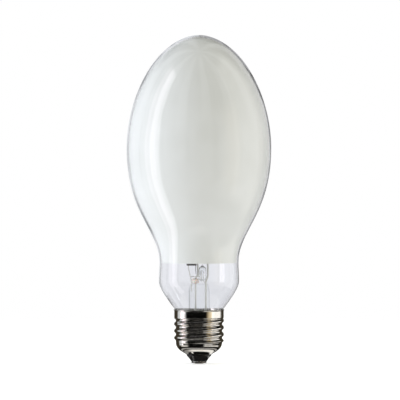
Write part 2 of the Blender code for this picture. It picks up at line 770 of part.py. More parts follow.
def lower_strap_z():
    """Return the height of the middle of the lower strap."""
    lower_end = LIGHT_CENTRE - ARC_TUBE_LENGTH / 2.0 + FEEDTHROUGH_INSIDE - FEEDTHROUGH_LENGTH
    return lower_end + STRAP_FROM_END + STRAP_HEIGHT / 2.0


def frame_shoulder_z():
    """Return the height where the frame rod comes back to the axis, over the arc tube."""
    return upper_feedthrough_top() + SEAT_GAP + BEND_RADIUS


def spider_z():
    """Return the height of the spring's hub, halfway up the room over the frame's shoulder."""
    return (frame_shoulder_z() + COATED_TOP_Z) / 2.0


def build_frame_rod(material):
    """Stiff rod from the press, round the arc tube and up to the spring in the dome."""
    side = -FRAME_OFFSET
    aside_z = lower_strap_z() - STRAP_HEIGHT / 2.0 - FRAME_BEND_BELOW_STRAP
    corners = [
        (FRAME_ROD_X, 0.0, rod_bottom()),
        (FRAME_ROD_X, 0.0, bead_top() + 0.5 * SMALL_BEND),
        (FRAME_JOG_X, 0.0, bead_top() + 2.0 * SMALL_BEND),
        (FRAME_JOG_X - FRAME_JOG_LEAN, 0.0, bridge_z() + 2.0 * BRIDGE_HEIGHT),
        (side, 0.0, aside_z),
        (side, 0.0, frame_shoulder_z() - 2.0 * BEND_RADIUS),
        (0.0, 0.0, frame_shoulder_z()),
        (0.0, 0.0, spider_z() + FRAME_STUB)]
    wire("frame_rod", rounded_path(corners, BEND_RADIUS, 3), ROD_RADIUS, material)


def return_rod_y():
    """Return how far behind the press the return rod stands."""
    return ROD_RADIUS


def build_return_rod(material):
    """Stiff rod from the press up to the strap of the arc tube's lower end."""
    corners = [
        (RETURN_ROD_X, 0.0, rod_bottom()),
        (RETURN_ROD_X, 0.0, PRESS_TOP + SMALL_BEND),
        (RETURN_OFFSET, return_rod_y(), PRESS_TOP + 4.0 * SMALL_BEND),
        (RETURN_OFFSET, return_rod_y(), lower_strap_z() + STRAP_HEIGHT)]
    wire("return_rod", rounded_path(corners, BEND_RADIUS), ROD_RADIUS, material)


def post_top():
    """Return where the switch post ends, beside the bridge."""
    return Vector((POST_X - POST_LEAN, -BLADE_WIDTH / 2.0 + POST_RADIUS,
                   bridge_z() + BRIDGE_HEIGHT / 2.0))


def build_switch_post(material):
    """Thin post set in the press, leaning out to carry the switch bridge."""
    top = post_top()
    straight = Vector((top.x, top.y, bridge_z() - 2.0 * BRIDGE_HEIGHT))
    corners = [
        (POST_X, 0.0, PRESS_TOP - POST_DEPTH),
        (POST_X, 0.0, PRESS_TOP + SMALL_BEND),
        straight,
        top]
    wire("switch_post", rounded_path(corners, SMALL_BEND), POST_RADIUS, material)


def build_switch_bridge(material):
    """Strip that hooks round the post and runs across to the bimetal blade."""
    post = post_top()
    hook = POST_RADIUS + SEAT_GAP + BRIDGE_SHEET / 2.0
    plan = arc((post.x, post.y), hook, 170.0, 270.0, 5)
    plan.append((FRAME_ROD_X + BRIDGE_PAST_BLADE, post.y - hook))
    path = [(x, y, bridge_z()) for x, y in plan]
    strip("switch_bridge", path, BRIDGE_HEIGHT, BRIDGE_SHEET, material, (0.0, 0.0, 1.0))


def build_bimetal_blade(material):
    """Bimetal blade that hangs from the bridge and rests by the bend of the frame rod."""
    top = bridge_z() + BRIDGE_HEIGHT / 2.0
    depth = post_top().y + BLADE_WIDTH / 2.0 - POST_RADIUS
    path = []
    for step in range(5):
        share = step / 4.0
        path.append((FRAME_ROD_X + BLADE_LEAN * share ** 2, depth, top - BLADE_LENGTH * share))
    strip("bimetal_blade", path, BLADE_WIDTH, BLADE_SHEET, material, (0.0, 1.0, 0.0))


def build_bead(material):
    """Ceramic bead threaded on the frame rod, standing on the press."""
    bottom = PRESS_TOP + SEAT_GAP
    hole = ROD_RADIUS + SEAT_GAP
    outline = [
        (hole, bottom),
        (BEAD_RADIUS - BEAD_EDGE, bottom),
        (BEAD_RADIUS, bottom + BEAD_EDGE),
        (BEAD_RADIUS, bead_top() - BEAD_EDGE),
        (BEAD_RADIUS - BEAD_EDGE, bead_top()),
        (hole, bead_top())]
    lathe("ceramic_bead", outline, material, TINY_SEGMENTS, ring=True,
          location=(FRAME_ROD_X, 0.0, 0.0))


def starter_bottom():
    """Return the height of the glow starter's mouth."""
    return PRESS_TOP + STARTER_ABOVE_PRESS


def build_starter_bulb(material):
    """Small glass bulb of the glow starter, with its tip on top and its mouth below."""
    low = starter_bottom()
    high = low + STARTER_HEIGHT
    radius = STARTER_RADIUS
    bore_radius = radius - STARTER_WALL
    tip = 0.25 * radius
    outline = [
        (0.0, high + 2.0 * tip),
        (0.7 * tip, high + 1.6 * tip),
        (tip, high + 0.4 * tip),
        (0.6 * radius, high - 0.15 * radius),
        (0.92 * radius, high - 0.55 * radius),
        (radius, high - radius),
        (radius, low + 0.6 * radius),
        (0.88 * radius, low + 0.25 * radius),
        (STARTER_MOUTH_RADIUS + STARTER_WALL / 4.0, low),
        (STARTER_MOUTH_RADIUS, low + STARTER_WALL),
        (bore_radius, low + 0.6 * radius),
        (bore_radius, high - radius),
        (0.75 * bore_radius, high - 0.5 * radius),
        (0.0, high - STARTER_WALL)]
    lathe("starter_bulb", outline, material, TINY_SEGMENTS, location=(STARTER_X, STARTER_Y, 0.0))


def build_starter_leads(material):
    """Two leads of the glow starter, one to the post and one to the return rod."""
    half = STARTER_LEAD_SPACING / 2.0
    low = starter_bottom() - 2.0 * SEAT_GAP
    behind = ROD_RADIUS + SEAT_GAP + 2.0 * FINE_WIRE_RADIUS
    switch_z = bead_top() + SMALL_BEND
    post = post_top()
    straight_z = bridge_z() - 2.0 * BRIDGE_HEIGHT
    low_z = PRESS_TOP + SMALL_BEND
    share = (switch_z - low_z) / (straight_z - low_z)
    post_x = POST_X + (post.x - POST_X) * share
    post_y = post.y * share
    reach = POST_RADIUS + SEAT_GAP + FINE_WIRE_RADIUS
    corners = [
        (STARTER_X - half, STARTER_Y, low + 0.7 * STARTER_HEIGHT),
        (STARTER_X - half, STARTER_Y, low),
        (STARTER_X - 1.5 * half, behind / 2.0, low + SEAT_GAP),
        (STARTER_X - 2.5 * half, behind, switch_z),
        (post_x + reach, behind, switch_z),
        (post_x + 0.5 * reach, post_y + reach, switch_z)]
    wire("starter_lead_left", rounded_path(corners, SMALL_BEND), FINE_WIRE_RADIUS, material)
    toward = Vector((STARTER_X + half - RETURN_ROD_X, STARTER_Y, 0.0)).normalized()
    end = Vector((RETURN_ROD_X, 0.0, low - SEAT_GAP))
    end += toward * (ROD_RADIUS + SEAT_GAP + FINE_WIRE_RADIUS)
    corners = [
        (STARTER_X + half, STARTER_Y, low + 0.5 * STARTER_HEIGHT),
        (STARTER_X + half, STARTER_Y, low),
        end]
    wire("starter_lead_right", rounded_path(corners, SMALL_BEND), FINE_WIRE_RADIUS, material)


def build_starter_contact(material):
    """Small bimetal hook over the starter's left lead, its free end by the right one."""
    half = STARTER_LEAD_SPACING / 2.0
    low = starter_bottom() - 2.0 * SEAT_GAP
    sheet = STARTER_HOOK_SHEET
    back = STARTER_X - half - FINE_WIRE_RADIUS - SEAT_GAP - sheet / 2.0
    over = low + 0.7 * STARTER_HEIGHT + SEAT_GAP + sheet
    path = [
        (back, STARTER_Y, low + 0.45 * STARTER_HEIGHT),
        (back, STARTER_Y, over - 0.7 * sheet),
        (STARTER_X - half, STARTER_Y, over + 0.7 * sheet),
        (STARTER_X + half, STARTER_Y, over - 1.3 * sheet),
        (STARTER_X + 1.4 * half, STARTER_Y, low + 0.5 * STARTER_HEIGHT + 2.0 * SEAT_GAP)]
    strip("starter_contact", path, STARTER_RADIUS / 2.0, sheet, material, (0.0, 1.0, 0.0))


def build_getter(ring_material, wire_material):
    """Ring of getter metal and the wire arm that holds it on the return rod."""
    half = GETTER_SECTION / 2.0
    height = PRESS_TOP + GETTER_ABOVE_PRESS
    arm_x = RETURN_OFFSET + ROD_RADIUS + SEAT_GAP + FINE_WIRE_RADIUS
    centre_x = arm_x + GETTER_RADIUS + 2.0 * GETTER_SECTION
    outline = [
        (GETTER_RADIUS - half, height - half),
        (GETTER_RADIUS + half, height - half),
        (GETTER_RADIUS + half, height + half),
        (GETTER_RADIUS - half, height + half)]
    lathe("getter_ring", outline, ring_material, TINY_SEGMENTS, ring=True,
          location=(centre_x, return_rod_y(), 0.0))
    arm_z = height - half - SEAT_GAP - FINE_WIRE_RADIUS
    corners = [
        (arm_x, return_rod_y(), arm_z - 3.0 * GETTER_SECTION),
        (arm_x, return_rod_y(), arm_z),
        (centre_x + GETTER_RADIUS, return_rod_y(), arm_z)]
    wire("getter_arm", rounded_path(corners, SMALL_BEND), FINE_WIRE_RADIUS, wire_material)


def build_arc_tube(material):
    """Straight tube of translucent alumina, open at both ends."""
    low = LIGHT_CENTRE - ARC_TUBE_LENGTH / 2.0
    high = LIGHT_CENTRE + ARC_TUBE_LENGTH / 2.0
    bore_radius = ARC_TUBE_RADIUS - ARC_TUBE_WALL
    edge = 0.2 * ARC_TUBE_WALL
    outline = [
        (bore_radius, low),
        (ARC_TUBE_RADIUS - edge, low),
        (ARC_TUBE_RADIUS, low + edge),
        (ARC_TUBE_RADIUS, high - edge),
        (ARC_TUBE_RADIUS - edge, high),
        (bore_radius, high)]
    lathe("arc_tube", outline, material, SMALL_SEGMENTS, ring=True)


def mirrored(outline, upper):
    """Turn an outline measured inwards from the arc tube's end into real heights."""
    half = ARC_TUBE_LENGTH / 2.0
    if upper:
        return [(radius, LIGHT_CENTRE + half - inward) for radius, inward in outline]
    return [(radius, LIGHT_CENTRE - half + inward) for radius, inward in outline]


def build_arc_tube_end(side, upper, plug_material, tube_material, electrode_material):
    """Plug, metal feed-through and electrode of one end of the arc tube."""
    bore_radius = ARC_TUBE_RADIUS - ARC_TUBE_WALL
    plug_start = SEAT_GAP
    plug = [
        (FEEDTHROUGH_RADIUS + SEAT_GAP, plug_start),
        (bore_radius - SEAT_GAP, plug_start),
        (bore_radius - SEAT_GAP, plug_start + PLUG_LENGTH),
        (FEEDTHROUGH_RADIUS + SEAT_GAP, plug_start + PLUG_LENGTH)]
    lathe(side + "_end_plug", mirrored(plug, upper), plug_material, SMALL_SEGMENTS, ring=True)
    outer_end = FEEDTHROUGH_INSIDE - FEEDTHROUGH_LENGTH
    feed_bore = FEEDTHROUGH_RADIUS - FEEDTHROUGH_WALL
    feedthrough = [
        (0.0, FEEDTHROUGH_INSIDE),
        (FEEDTHROUGH_RADIUS, FEEDTHROUGH_INSIDE),
        (FEEDTHROUGH_RADIUS, outer_end),
        (feed_bore, outer_end),
        (feed_bore, FEEDTHROUGH_INSIDE - 2.0 * FEEDTHROUGH_WALL),
        (0.0, FEEDTHROUGH_INSIDE - 2.0 * FEEDTHROUGH_WALL)]
    lathe(side + "_feedthrough", mirrored(feedthrough, upper), tube_material, TINY_SEGMENTS)
    start = FEEDTHROUGH_INSIDE + SEAT_GAP
    tip = start + ELECTRODE_LENGTH
    wire_height = (ELECTRODE_COIL_RADIUS - ELECTRODE_RADIUS)
    coil_start = tip - wire_height * (ELECTRODE_COIL_TURNS + 2.0)
    electrode = [(0.0, start), (ELECTRODE_RADIUS, start), (ELECTRODE_RADIUS, coil_start)]
    for turn in range(ELECTRODE_COIL_TURNS):
        turn_start = coil_start + wire_height * turn
        electrode.append((ELECTRODE_COIL_RADIUS, turn_start + 0.5 * wire_height))
        electrode.append((0.75 * ELECTRODE_COIL_RADIUS, turn_start + wire_height))
    electrode += [(ELECTRODE_RADIUS, tip - 1.5 * wire_height), (ELECTRODE_RADIUS, tip), (0.0, tip)]
    lathe(side + "_electrode", mirrored(electrode, upper), electrode_material, FINE_SEGMENTS)


def build_pellet(material):
    """Pellet of sodium amalgam that lies on the lower plug."""
    low = LIGHT_CENTRE - ARC_TUBE_LENGTH / 2.0
    distance = (FEEDTHROUGH_RADIUS + ARC_TUBE_RADIUS - ARC_TUBE_WALL) / 2.0
    height = low + PLUG_LENGTH + 2.0 * SEAT_GAP + PELLET_RADIUS
    ball("amalgam_pellet", (PELLET_RADIUS,) * 3, (0.0, -distance, height), material)


def build_ignition_coil(material):
    """Fine wire wound round the arc tube, with a tail to the frame rod."""
    radius = ARC_TUBE_RADIUS + SEAT_GAP + FINE_WIRE_RADIUS
    low = LIGHT_CENTRE - ARC_TUBE_LENGTH / 2.0 + IGNITION_MARGIN
    high = LIGHT_CENTRE + ARC_TUBE_LENGTH / 2.0 - IGNITION_MARGIN
    steps = IGNITION_TURNS * FINE_SEGMENTS
    points = []
    for step in range(steps + 1):
        angle = math.pi + 2.0 * math.pi * IGNITION_TURNS * step / steps
        points.append((radius * math.cos(angle), radius * math.sin(angle),
                       low + (high - low) * step / steps))
    tail = -FRAME_OFFSET + ROD_RADIUS + SEAT_GAP + FINE_WIRE_RADIUS
    points.append((tail, 0.0, high + 2.0 * FINE_WIRE_RADIUS))
    wire("ignition_coil", points, FINE_WIRE_RADIUS, material)


def build_straps(material):
    """Straps that join the arc tube's two feed-throughs to the rods."""
    grip = FEEDTHROUGH_RADIUS + SEAT_GAP + STRAP_SHEET / 2.0
    rod_grip = ROD_RADIUS + SEAT_GAP + STRAP_SHEET / 2.0
    plan = arc((0.0, 0.0), grip, 140.0, 290.0, 7)
    plan += arc((RETURN_OFFSET, return_rod_y()), rod_grip, 270.0, 340.0, 3)
    path = [(x, y, lower_strap_z()) for x, y in plan]
    strip("lower_strap", path, STRAP_HEIGHT, STRAP_SHEET, material, (0.0, 0.0, 1.0))
    upper_z = upper_feedthrough_top() - STRAP_FROM_END - STRAP_HEIGHT / 2.0
    plan = arc((0.0, 0.0), grip, 40.0, -100.0, 7)
    bow_depth = grip + 0.15 * FRAME_OFFSET
    plan += [(-0.35 * FRAME_OFFSET, -bow_depth), (-0.6 * FRAME_OFFSET, -bow_depth)]
    plan += arc((-FRAME_OFFSET, 0.0), rod_grip, 290.0, 180.0, 4)
    path = [(x, y, upper_z) for x, y in plan]
    strip("upper_strap", path, STRAP_HEIGHT, STRAP_SHEET, material, (0.0, 0.0, 1.0))


def build_spider(material):
    """Four-legged leaf spring that steadies the frame in the dome."""
    hub_z = spider_z()
    foot_z = hub_z - SPIDER_DROP
    inside = coating_inside()
    foot_radius = height_on(inside, foot_z) - 1.5 * SEAT_GAP
    pad_z = foot_z - SPIDER_PAD
    pad_radius = height_on(inside, pad_z) - 1.5 * SEAT_GAP
    half = SPIDER_WIDTH / 2.0
    root = half / math.tan(math.pi / 8.0)
    stations = [(root, hub_z)]
    for share in (0.25, 0.5, 0.75, 1.0):
        reach = root + (foot_radius - root) * share
        stations.append((reach, hub_z - SPIDER_DROP * share ** SPIDER_CURVE))
    stations.append((pad_radius, pad_z))
    bm = bmesh.new()
    hole = ROD_RADIUS + SEAT_GAP
    corner_radius = math.hypot(root, half)
    angles = [math.pi / 8.0 + math.pi / 4.0 * step for step in range(8)]
    inner = [bm.verts.new((hole * math.cos(a), hole * math.sin(a), hub_z)) for a in angles]
    outer = [
        bm.verts.new((corner_radius * math.cos(a), corner_radius * math.sin(a), hub_z))
        for a in angles]
    join_rings(bm, [inner, outer])
    for leg in range(4):
        turn = Matrix.Rotation(math.pi / 2.0 * leg, 3, "Z")
        left = outer[(2 * leg) % 8]
        right = outer[(2 * leg - 1) % 8]
        for reach, height in stations[1:]:
            next_left = bm.verts.new(turn @ Vector((reach, half, height)))
            next_right = bm.verts.new(turn @ Vector((reach, -half, height)))
            bm.faces.new((right, next_right, next_left, left))
            left = next_left
            right = next_right
    obj = mesh_object("top_spring", bm, material)
    sheet = obj.modifiers.new("sheet", "SOLIDIFY")
    sheet.thickness = SPIDER_SHEET
    sheet.offset = 0.0
    sheet.use_even_offset = True


def main():
    """Build the lamp from its cap to the spring in its dome."""
    clear_scene()
    glass = make_material("clear_glass", (0.92, 0.94, 0.95), 0.03, transmission=1.0)
    powder = make_material("white_coating", (0.84, 0.85, 0.83), 0.6)
    nickel = make_material("nickel_plate", (0.74, 0.71, 0.66), 0.22, metallic=1.0)
    vitrite = make_material("black_glass", (0.015, 0.014, 0.014), 0.12)
    solder = make_material("solder", (0.62, 0.62, 0.61), 0.4, metallic=1.0)
    cement = make_material("cement", (0.62, 0.58, 0.5), 0.9)
    steel = make_material("nickel_wire", (0.5, 0.49, 0.47), 0.3, metallic=1.0)
    bimetal = make_material("bimetal", (0.32, 0.3, 0.28), 0.35, metallic=1.0)
    steatite = make_material("steatite", (0.85, 0.72, 0.64), 0.5)
    alumina = make_material("alumina", (0.9, 0.89, 0.86), 0.45)
    niobium = make_material("niobium", (0.55, 0.55, 0.57), 0.35, metallic=1.0)
    tungsten = make_material("tungsten", (0.3, 0.3, 0.31), 0.4, metallic=1.0)
    amalgam = make_material("amalgam", (0.72, 0.73, 0.75), 0.2, metallic=1.0)
    build_cap_shell(nickel)
    build_insulator(vitrite)
    build_centre_contact(nickel)
    build_contact_solder(solder)
    build_cement(cement)
    build_rim_solder(solder)
    build_outer_bulb(glass)
    build_coating(powder)
    build_stem(glass)
    build_pump_tube(glass)
    build_contact_lead(steel)
    build_shell_lead(steel)
    build_frame_rod(steel)
    build_return_rod(steel)
    build_switch_post(steel)
    build_switch_bridge(bimetal)
    build_bimetal_blade(bimetal)
    build_bead(steatite)
    build_starter_bulb(glass)
    build_starter_leads(steel)
    build_starter_contact(bimetal)
    build_getter(bimetal, steel)
    build_arc_tube(alumina)
    build_arc_tube_end("lower", False, alumina, niobium, tungsten)
    build_arc_tube_end("upper", True, alumina, niobium, tungsten)
    build_pellet(amalgam)
    build_ignition_coil(tungsten)
    build_straps(steel)
    build_spider(steel)


main()
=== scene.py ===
import math

import bmesh
import bpy
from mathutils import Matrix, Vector, noise


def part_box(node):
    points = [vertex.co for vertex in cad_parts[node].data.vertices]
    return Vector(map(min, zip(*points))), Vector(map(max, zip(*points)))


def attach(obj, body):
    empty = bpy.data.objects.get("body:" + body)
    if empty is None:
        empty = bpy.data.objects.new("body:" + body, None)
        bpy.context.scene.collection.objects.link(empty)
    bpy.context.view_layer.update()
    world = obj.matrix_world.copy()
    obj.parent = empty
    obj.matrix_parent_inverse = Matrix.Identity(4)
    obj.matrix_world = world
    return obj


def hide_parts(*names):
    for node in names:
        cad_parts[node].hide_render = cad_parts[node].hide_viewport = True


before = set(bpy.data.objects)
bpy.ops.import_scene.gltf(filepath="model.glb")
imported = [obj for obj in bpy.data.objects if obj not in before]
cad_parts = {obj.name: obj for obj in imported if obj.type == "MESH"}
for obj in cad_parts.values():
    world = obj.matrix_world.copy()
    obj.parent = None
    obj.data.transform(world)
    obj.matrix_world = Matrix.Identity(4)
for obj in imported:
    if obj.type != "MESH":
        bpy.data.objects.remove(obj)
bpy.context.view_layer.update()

MM = 0.001

# What the frame says about the pieces that the scene builds again
BULB_LOW, BULB_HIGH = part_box("outer_bulb")
SHELL_LOW, SHELL_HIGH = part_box("cap_shell")
CONTACT_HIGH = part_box("centre_contact")[1]
STEM_LOW, STEM_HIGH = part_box("glass_stem")
BEAD_LOW, BEAD_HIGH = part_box("ceramic_bead")
STARTER_LOW, STARTER_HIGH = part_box("starter_bulb")
BRIDGE_LOW, BRIDGE_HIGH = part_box("switch_bridge")
ROD_LOW, ROD_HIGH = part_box("frame_rod")
RETURN_LOW, RETURN_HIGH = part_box("return_rod")
POST_LOW, POST_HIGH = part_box("switch_post")

RIM_Z = SHELL_HIGH.z
MOUTH_Z = SHELL_LOW.z
TOP_Z = BULB_HIGH.z
BULB_RADIUS = BULB_HIGH.x
NECK_BOTTOM = BULB_LOW.z
PRESS_TOP = STEM_HIGH.z

# Outline of the bulb, as in the frame
GLASS_WALL = 0.9 * MM
NECK_RADIUS = 9.8 * MM
NECK_STRAIGHT = 9.9 * MM
NECK_HANDLES = (0.17, 0.3)
BULGE_RADIUS = 21.05 * MM
BULGE_Z = RIM_Z + 14.9 * MM
SHOULDER_HANDLES = (0.4, 0.3)
WAIST_RADIUS = 20.75 * MM
WAIST_Z = RIM_Z + 24.5 * MM
BODY_HANDLES = (0.284, 0.575)
WIDEST_Z = RIM_Z + 84.8 * MM
DOME_FULLNESS = 1.9
COATING_THICKNESS = 0.2 * MM
COATING_GAP = 0.04 * MM
COATING_EDGE = 1.0 * MM
COATING_RIPPLE = 0.12 * MM

# Screw shell
SHEET = 0.3 * MM
MOUTH_RADIUS = 6.75 * MM
BASE_HEIGHT = 5.9 * MM
BASE_ANGLE = math.radians(28.0)
BASE_LOW_HANDLE = 0.58
BASE_HIGH_HANDLE = 0.44
THREAD_PITCH = 3.629 * MM
THREAD_CREST_RADIUS = 13.1 * MM
THREAD_DEPTH = 0.95 * MM
THREAD_ROOT_RADIUS = THREAD_CREST_RADIUS - THREAD_DEPTH
THREAD_FADE = 1.2 * MM
THREAD_START = math.radians(-90.0)
BAND_RADIUS = 13.0 * MM
BAND_HEIGHT = 4.2 * MM
LIP_HEIGHT = 1.0 * MM
LIP_RADIUS = SHELL_HIGH.x
THREAD_BOTTOM = MOUTH_Z + BASE_HEIGHT
THREAD_TOP = RIM_Z - BAND_HEIGHT

# Insulator and contact
LEAD_HOLE = 0.55 * MM
FLUTES = 12
FLUTE_DEPTH = 0.012

# Stem and press
STEM_RADIUS = 5.65 * MM
STEM_WALL = 1.0 * MM
PRESS_BOTTOM = PRESS_TOP - 13.3 * MM
PRESS_HALF = 2.1 * MM
PRESS_TAPER = 4.0 * MM
PRESS_SHOULDER = 1.6 * MM
PRESS_SHOULDER_HEIGHT = 4.2 * MM
ROUND = 2.0
PRESS_SQUARENESS = 5.0
FLARE_LIP = 0.9 * MM
FLARE_HEIGHT = 9.0 * MM
CAVITY_TOP = PRESS_BOTTOM - 1.6 * MM

# Wires of the mount
DOMED_END = 0.15
CUT_END = 0.8
ROD_RADIUS = 0.5 * MM
LEAD_RADIUS = 0.25 * MM
FINE_WIRE_RADIUS = 0.2 * MM
SEAT_GAP = 0.3 * MM
BEND_RADIUS = 3.0 * MM
SMALL_BEND = 1.0 * MM
FRAME_ROD_X = (BEAD_LOW.x + BEAD_HIGH.x) / 2.0
FRAME_JOG_X = -0.4 * MM
FRAME_JOG_LEAN = 0.4 * MM
FRAME_BEND_BELOW_STRAP = 2.3 * MM
RETURN_ROD_X = RETURN_LOW.x + ROD_RADIUS
RETURN_TOP_X = RETURN_HIGH.x - ROD_RADIUS
RETURN_TOP_Y = RETURN_HIGH.y - ROD_RADIUS
POST_X = POST_HIGH.x - LEAD_RADIUS
POST_TOP_X = POST_LOW.x + LEAD_RADIUS
POST_TOP_Y = POST_LOW.y + LEAD_RADIUS
BRIDGE_Z = (BRIDGE_LOW.z + BRIDGE_HIGH.z) / 2.0
BRIDGE_HEIGHT = BRIDGE_HIGH.z - BRIDGE_LOW.z
BRIDGE_SHEET = 0.4 * MM
BLADE_SHEET = 0.3 * MM
BLADE_TOP_X = -1.84 * MM
BLADE_LEAN = 0.35 * MM
BEAD_RADIUS = (BEAD_HIGH.x - BEAD_LOW.x) / 2.0
STARTER_X = (STARTER_LOW.x + STARTER_HIGH.x) / 2.0
STARTER_Y = (STARTER_LOW.y + STARTER_HIGH.y) / 2.0
STARTER_RADIUS = 2.0 * MM
STARTER_HEIGHT = 7.4 * MM
STARTER_WALL = 0.28 * MM
STARTER_MOUTH_RADIUS = 1.0 * MM
STARTER_LEAD_HALF = 0.5 * MM
STARTER_WIRE_LOW = STARTER_LOW.z - 2.0 * SEAT_GAP
STARTER_SHEET = 0.15 * MM
STARTER_BEND = 0.6 * MM

# Camera, from the scale and the framing of the photograph
MM_PER_PIXEL = 0.5263
PICTURE_PIXELS = 400
FRAME_WIDTH = PICTURE_PIXELS * MM_PER_PIXEL * MM
CAMERA_DISTANCE = 1.2
CAMERA_X = 0.53 * MM
CAMERA_Z = 86.2 * MM
SENSOR = 36.0

# Colours
WHITE = (1.0, 1.0, 1.0)
WARM_WHITE = (1.0, 0.985, 0.95)
COOL_WHITE = (0.93, 0.965, 1.0)
PINK_WHITE = (1.0, 0.84, 0.95)
CREAM_WHITE = (1.0, 0.98, 0.95)
AMBER = (1.0, 0.82, 0.54)

# Studio. Angles are in degrees, and an azimuth runs from the camera's side to the right.
# A ramp's value holds the two ends that it runs between and what it gives at each.
SOFTBOX_DISTANCE = 0.9
SOFTBOX_SIZE = (0.3, 0.9)
AMBIENT_TINT = (1.01, 1.0, 0.9)
AMBIENT_BY_ELEVATION = (5.0, 70.0, 0.685, 0.69)

# What shiny surfaces see: azimuths, elevations, softness, colour and light of each card
SHINE_CARDS = (
    ((-240, -108), (-48, 36), 8, COOL_WHITE, 0.78),
    ((-108, -65), (-60, 50), 4, COOL_WHITE, 0.8),
    ((-96, -73), (-58, 53), 1.5, PINK_WHITE, 1.1),
    ((-108, -84), (-66, -46), 3, COOL_WHITE, 4.0),
    ((43, 68), (-28, 28), 11, AMBER, 0.8),
    ((62, 120), (-32, 60), 7, CREAM_WHITE, 1.22),
    ((120, 240), (-40, 40), 6, WARM_WHITE, 0.22),
    ((-181, 181), (55, 180), 5, WARM_WHITE, 0.05),
    ((-181, 181), (-180, 180), 1, WARM_WHITE, 0.001))

# What clear glass shows: a strip of light, and a white that darkens at one side of every fold
STRIP_CARD = ((-86, -67), (-54, 52), 1.5, (1.0, 0.93, 0.98), 2.0)
GLASS_WHITE = (0.85, 0.855, 0.885)
FOLD = 45.0
DARK_SIDE = (-18.0, -9.5)
DARK_SIDE_LOW_DOWN = (-16.0, -6.0, 0.85, 0.45)
DARK_SIDE_HIGH_UP = (9.0, 16.0, 0.45, 0.68)
OTHER_SIDE = (1.0, 9.0, 1.0, 0.15)
OTHER_SIDE_DARKENING = ((9.0, 16.0, 0.0, 0.3), (24.0, 38.0, 0.0, 0.62))

# Dark cards beside and above the cap
FLAG_RADIUS = 24.0 * MM
FLAG_HEIGHTS = (-40.0 * MM, 31.0 * MM)
FLAG_SIDES = {"left_flag": (-90.5, -172.0), "right_flag": (99.0, 172.0)}
FLAG_COLOUR = (1.0, 0.85, 0.6)
FLAG_LIGHT = 0.05
LID_Z = 45.0 * MM
LID_INNER = 24.0 * MM
LIDS = {"left_lid": (96.0 * MM, (-112.0, -50.0)), "right_lid": (106.0 * MM, (46.0, 140.0))}

# What shiny surfaces see of the floor: each lit ring's radii and softness in mm, its light, and its
# azimuths and their softness. Past its dark end they see through it.
EVERY_SIDE = (-400, 400)
FLOOR_RINGS = (
    ((8.0, 12.2), 0.3, 0.3, EVERY_SIDE, 1),
    ((8.0, 12.2), 0.3, 0.7, (-50, 400), 25),
    ((14.0, 17.0), 0.4, 0.4, EVERY_SIDE, 1),
    ((5.4, 7.2), 0.3, 3.0, (-55, -49), 2),
    ((24.0, 40.0), 0.6, 0.8, (-88, -50), 6),
    ((24.0, 40.0), 0.6, 0.8, (22, 104), 6),
    ((66.0, 76.0), 2.0, 0.75, (-60, 70), 8))
FLOOR_SPOT = (3.3, 3.6, 0.5, 0.0)
FLOOR_DARK_LIGHT = 0.003
FLOOR_DARK_END = 78.0
FLOOR_DARK_SOFT = 3.0
FLOOR_DARK_END_LEFT = 40.0
FLOOR_DARK_END_RIGHT = 94.0
FLOOR_LEFT_SIDES = (-112, -78, 2)
FLOOR_RIGHT_SIDES = (50, 140, 5)
FLOOR_RADIUS = 0.8
FLOOR_FADE = (120.0, 500.0)
FLOOR_LIFT = 0.55
FLOOR_BOUNCE = 0.27


def feed(node, inputs):
    """Give a node's inputs values, or link them to the sockets that feed them."""
    for name, value in inputs.items():
        if isinstance(value, bpy.types.NodeSocket):
            node.id_data.links.new(value, node.inputs[name])
        else:
            node.inputs[name].default_value = value


def add(tree, kind, inputs=None, **settings):
    """Add a shader node of a kind, such as Math, with its settings and inputs."""
    node = tree.nodes.new("ShaderNode" + kind)
    for name, value in settings.items():
        setattr(node, name, value)
    feed(node, inputs or {})
    return node


def maths(operation, first, second=0.0, third=0.0):
    """Add a Math node to the tree of its first input, and return its output."""
    return add(first.id_data, "Math", {0: first, 1: second, 2: third}, operation=operation).outputs[0]


def ramp(value, low, high, out_low=0.0, out_high=1.0):
    """Map a value from one range to another, clamped and eased, and return the output."""
    ends = {"From Min": low, "From Max": high, "To Min": out_low, "To Max": out_high}
    inputs = {"Value": value, **ends}
    return add(value.id_data, "MapRange", inputs, interpolation_type="SMOOTHSTEP").outputs["Result"]


def blend_colours(factor, first, second):
    """Mix two colours by a factor and return the output."""
    first, second = [(*value, 1.0) if isinstance(value, tuple) else value for value in (first, second)]
    return add(factor.id_data, "Mix", {0: factor, 6: first, 7: second}, data_type="RGBA").outputs[2]


def window(value, low, high, soft):
    """Return 1 where a value lies between two bounds, with soft ends."""
    rise = ramp(value, low - soft, low + soft)
    fall = ramp(value, high - soft, high + soft, 1.0, 0.0)
    return maths("MULTIPLY", rise, fall)


def scaled(colour, amount):
    """Return a colour times an amount."""
    return add(amount.id_data, "VectorMath", {0: colour, "Scale": amount}, operation="SCALE").outputs[0]


def azimuth_of(axes):
    """Return a direction's azimuth in degrees."""
    angle = maths("ARCTAN2", axes["X"], maths("MULTIPLY", axes["Y"], -1.0))
    return maths("DEGREES", angle)


def surface(node):
    """Make a shader node its material's surface."""
    feed(node.id_data.nodes["Material Output"], {"Surface": node.outputs[0]})


def cloud(tree, grain, detail=3.0, roughness=0.5, stretch=(1.0, 1.0, 1.0)):
    """Return a noise value whose grains are about a length in metres. Stretch scales the axes."""
    place = add(tree, "TexCoord").outputs["Object"]
    place = add(tree, "Mapping", {"Vector": place, "Scale": stretch}).outputs["Vector"]
    inputs = {"Vector": place, "Scale": 1.0 / grain, "Detail": detail, "Roughness": roughness}
    return add(tree, "TexNoise", inputs).outputs["Fac"]


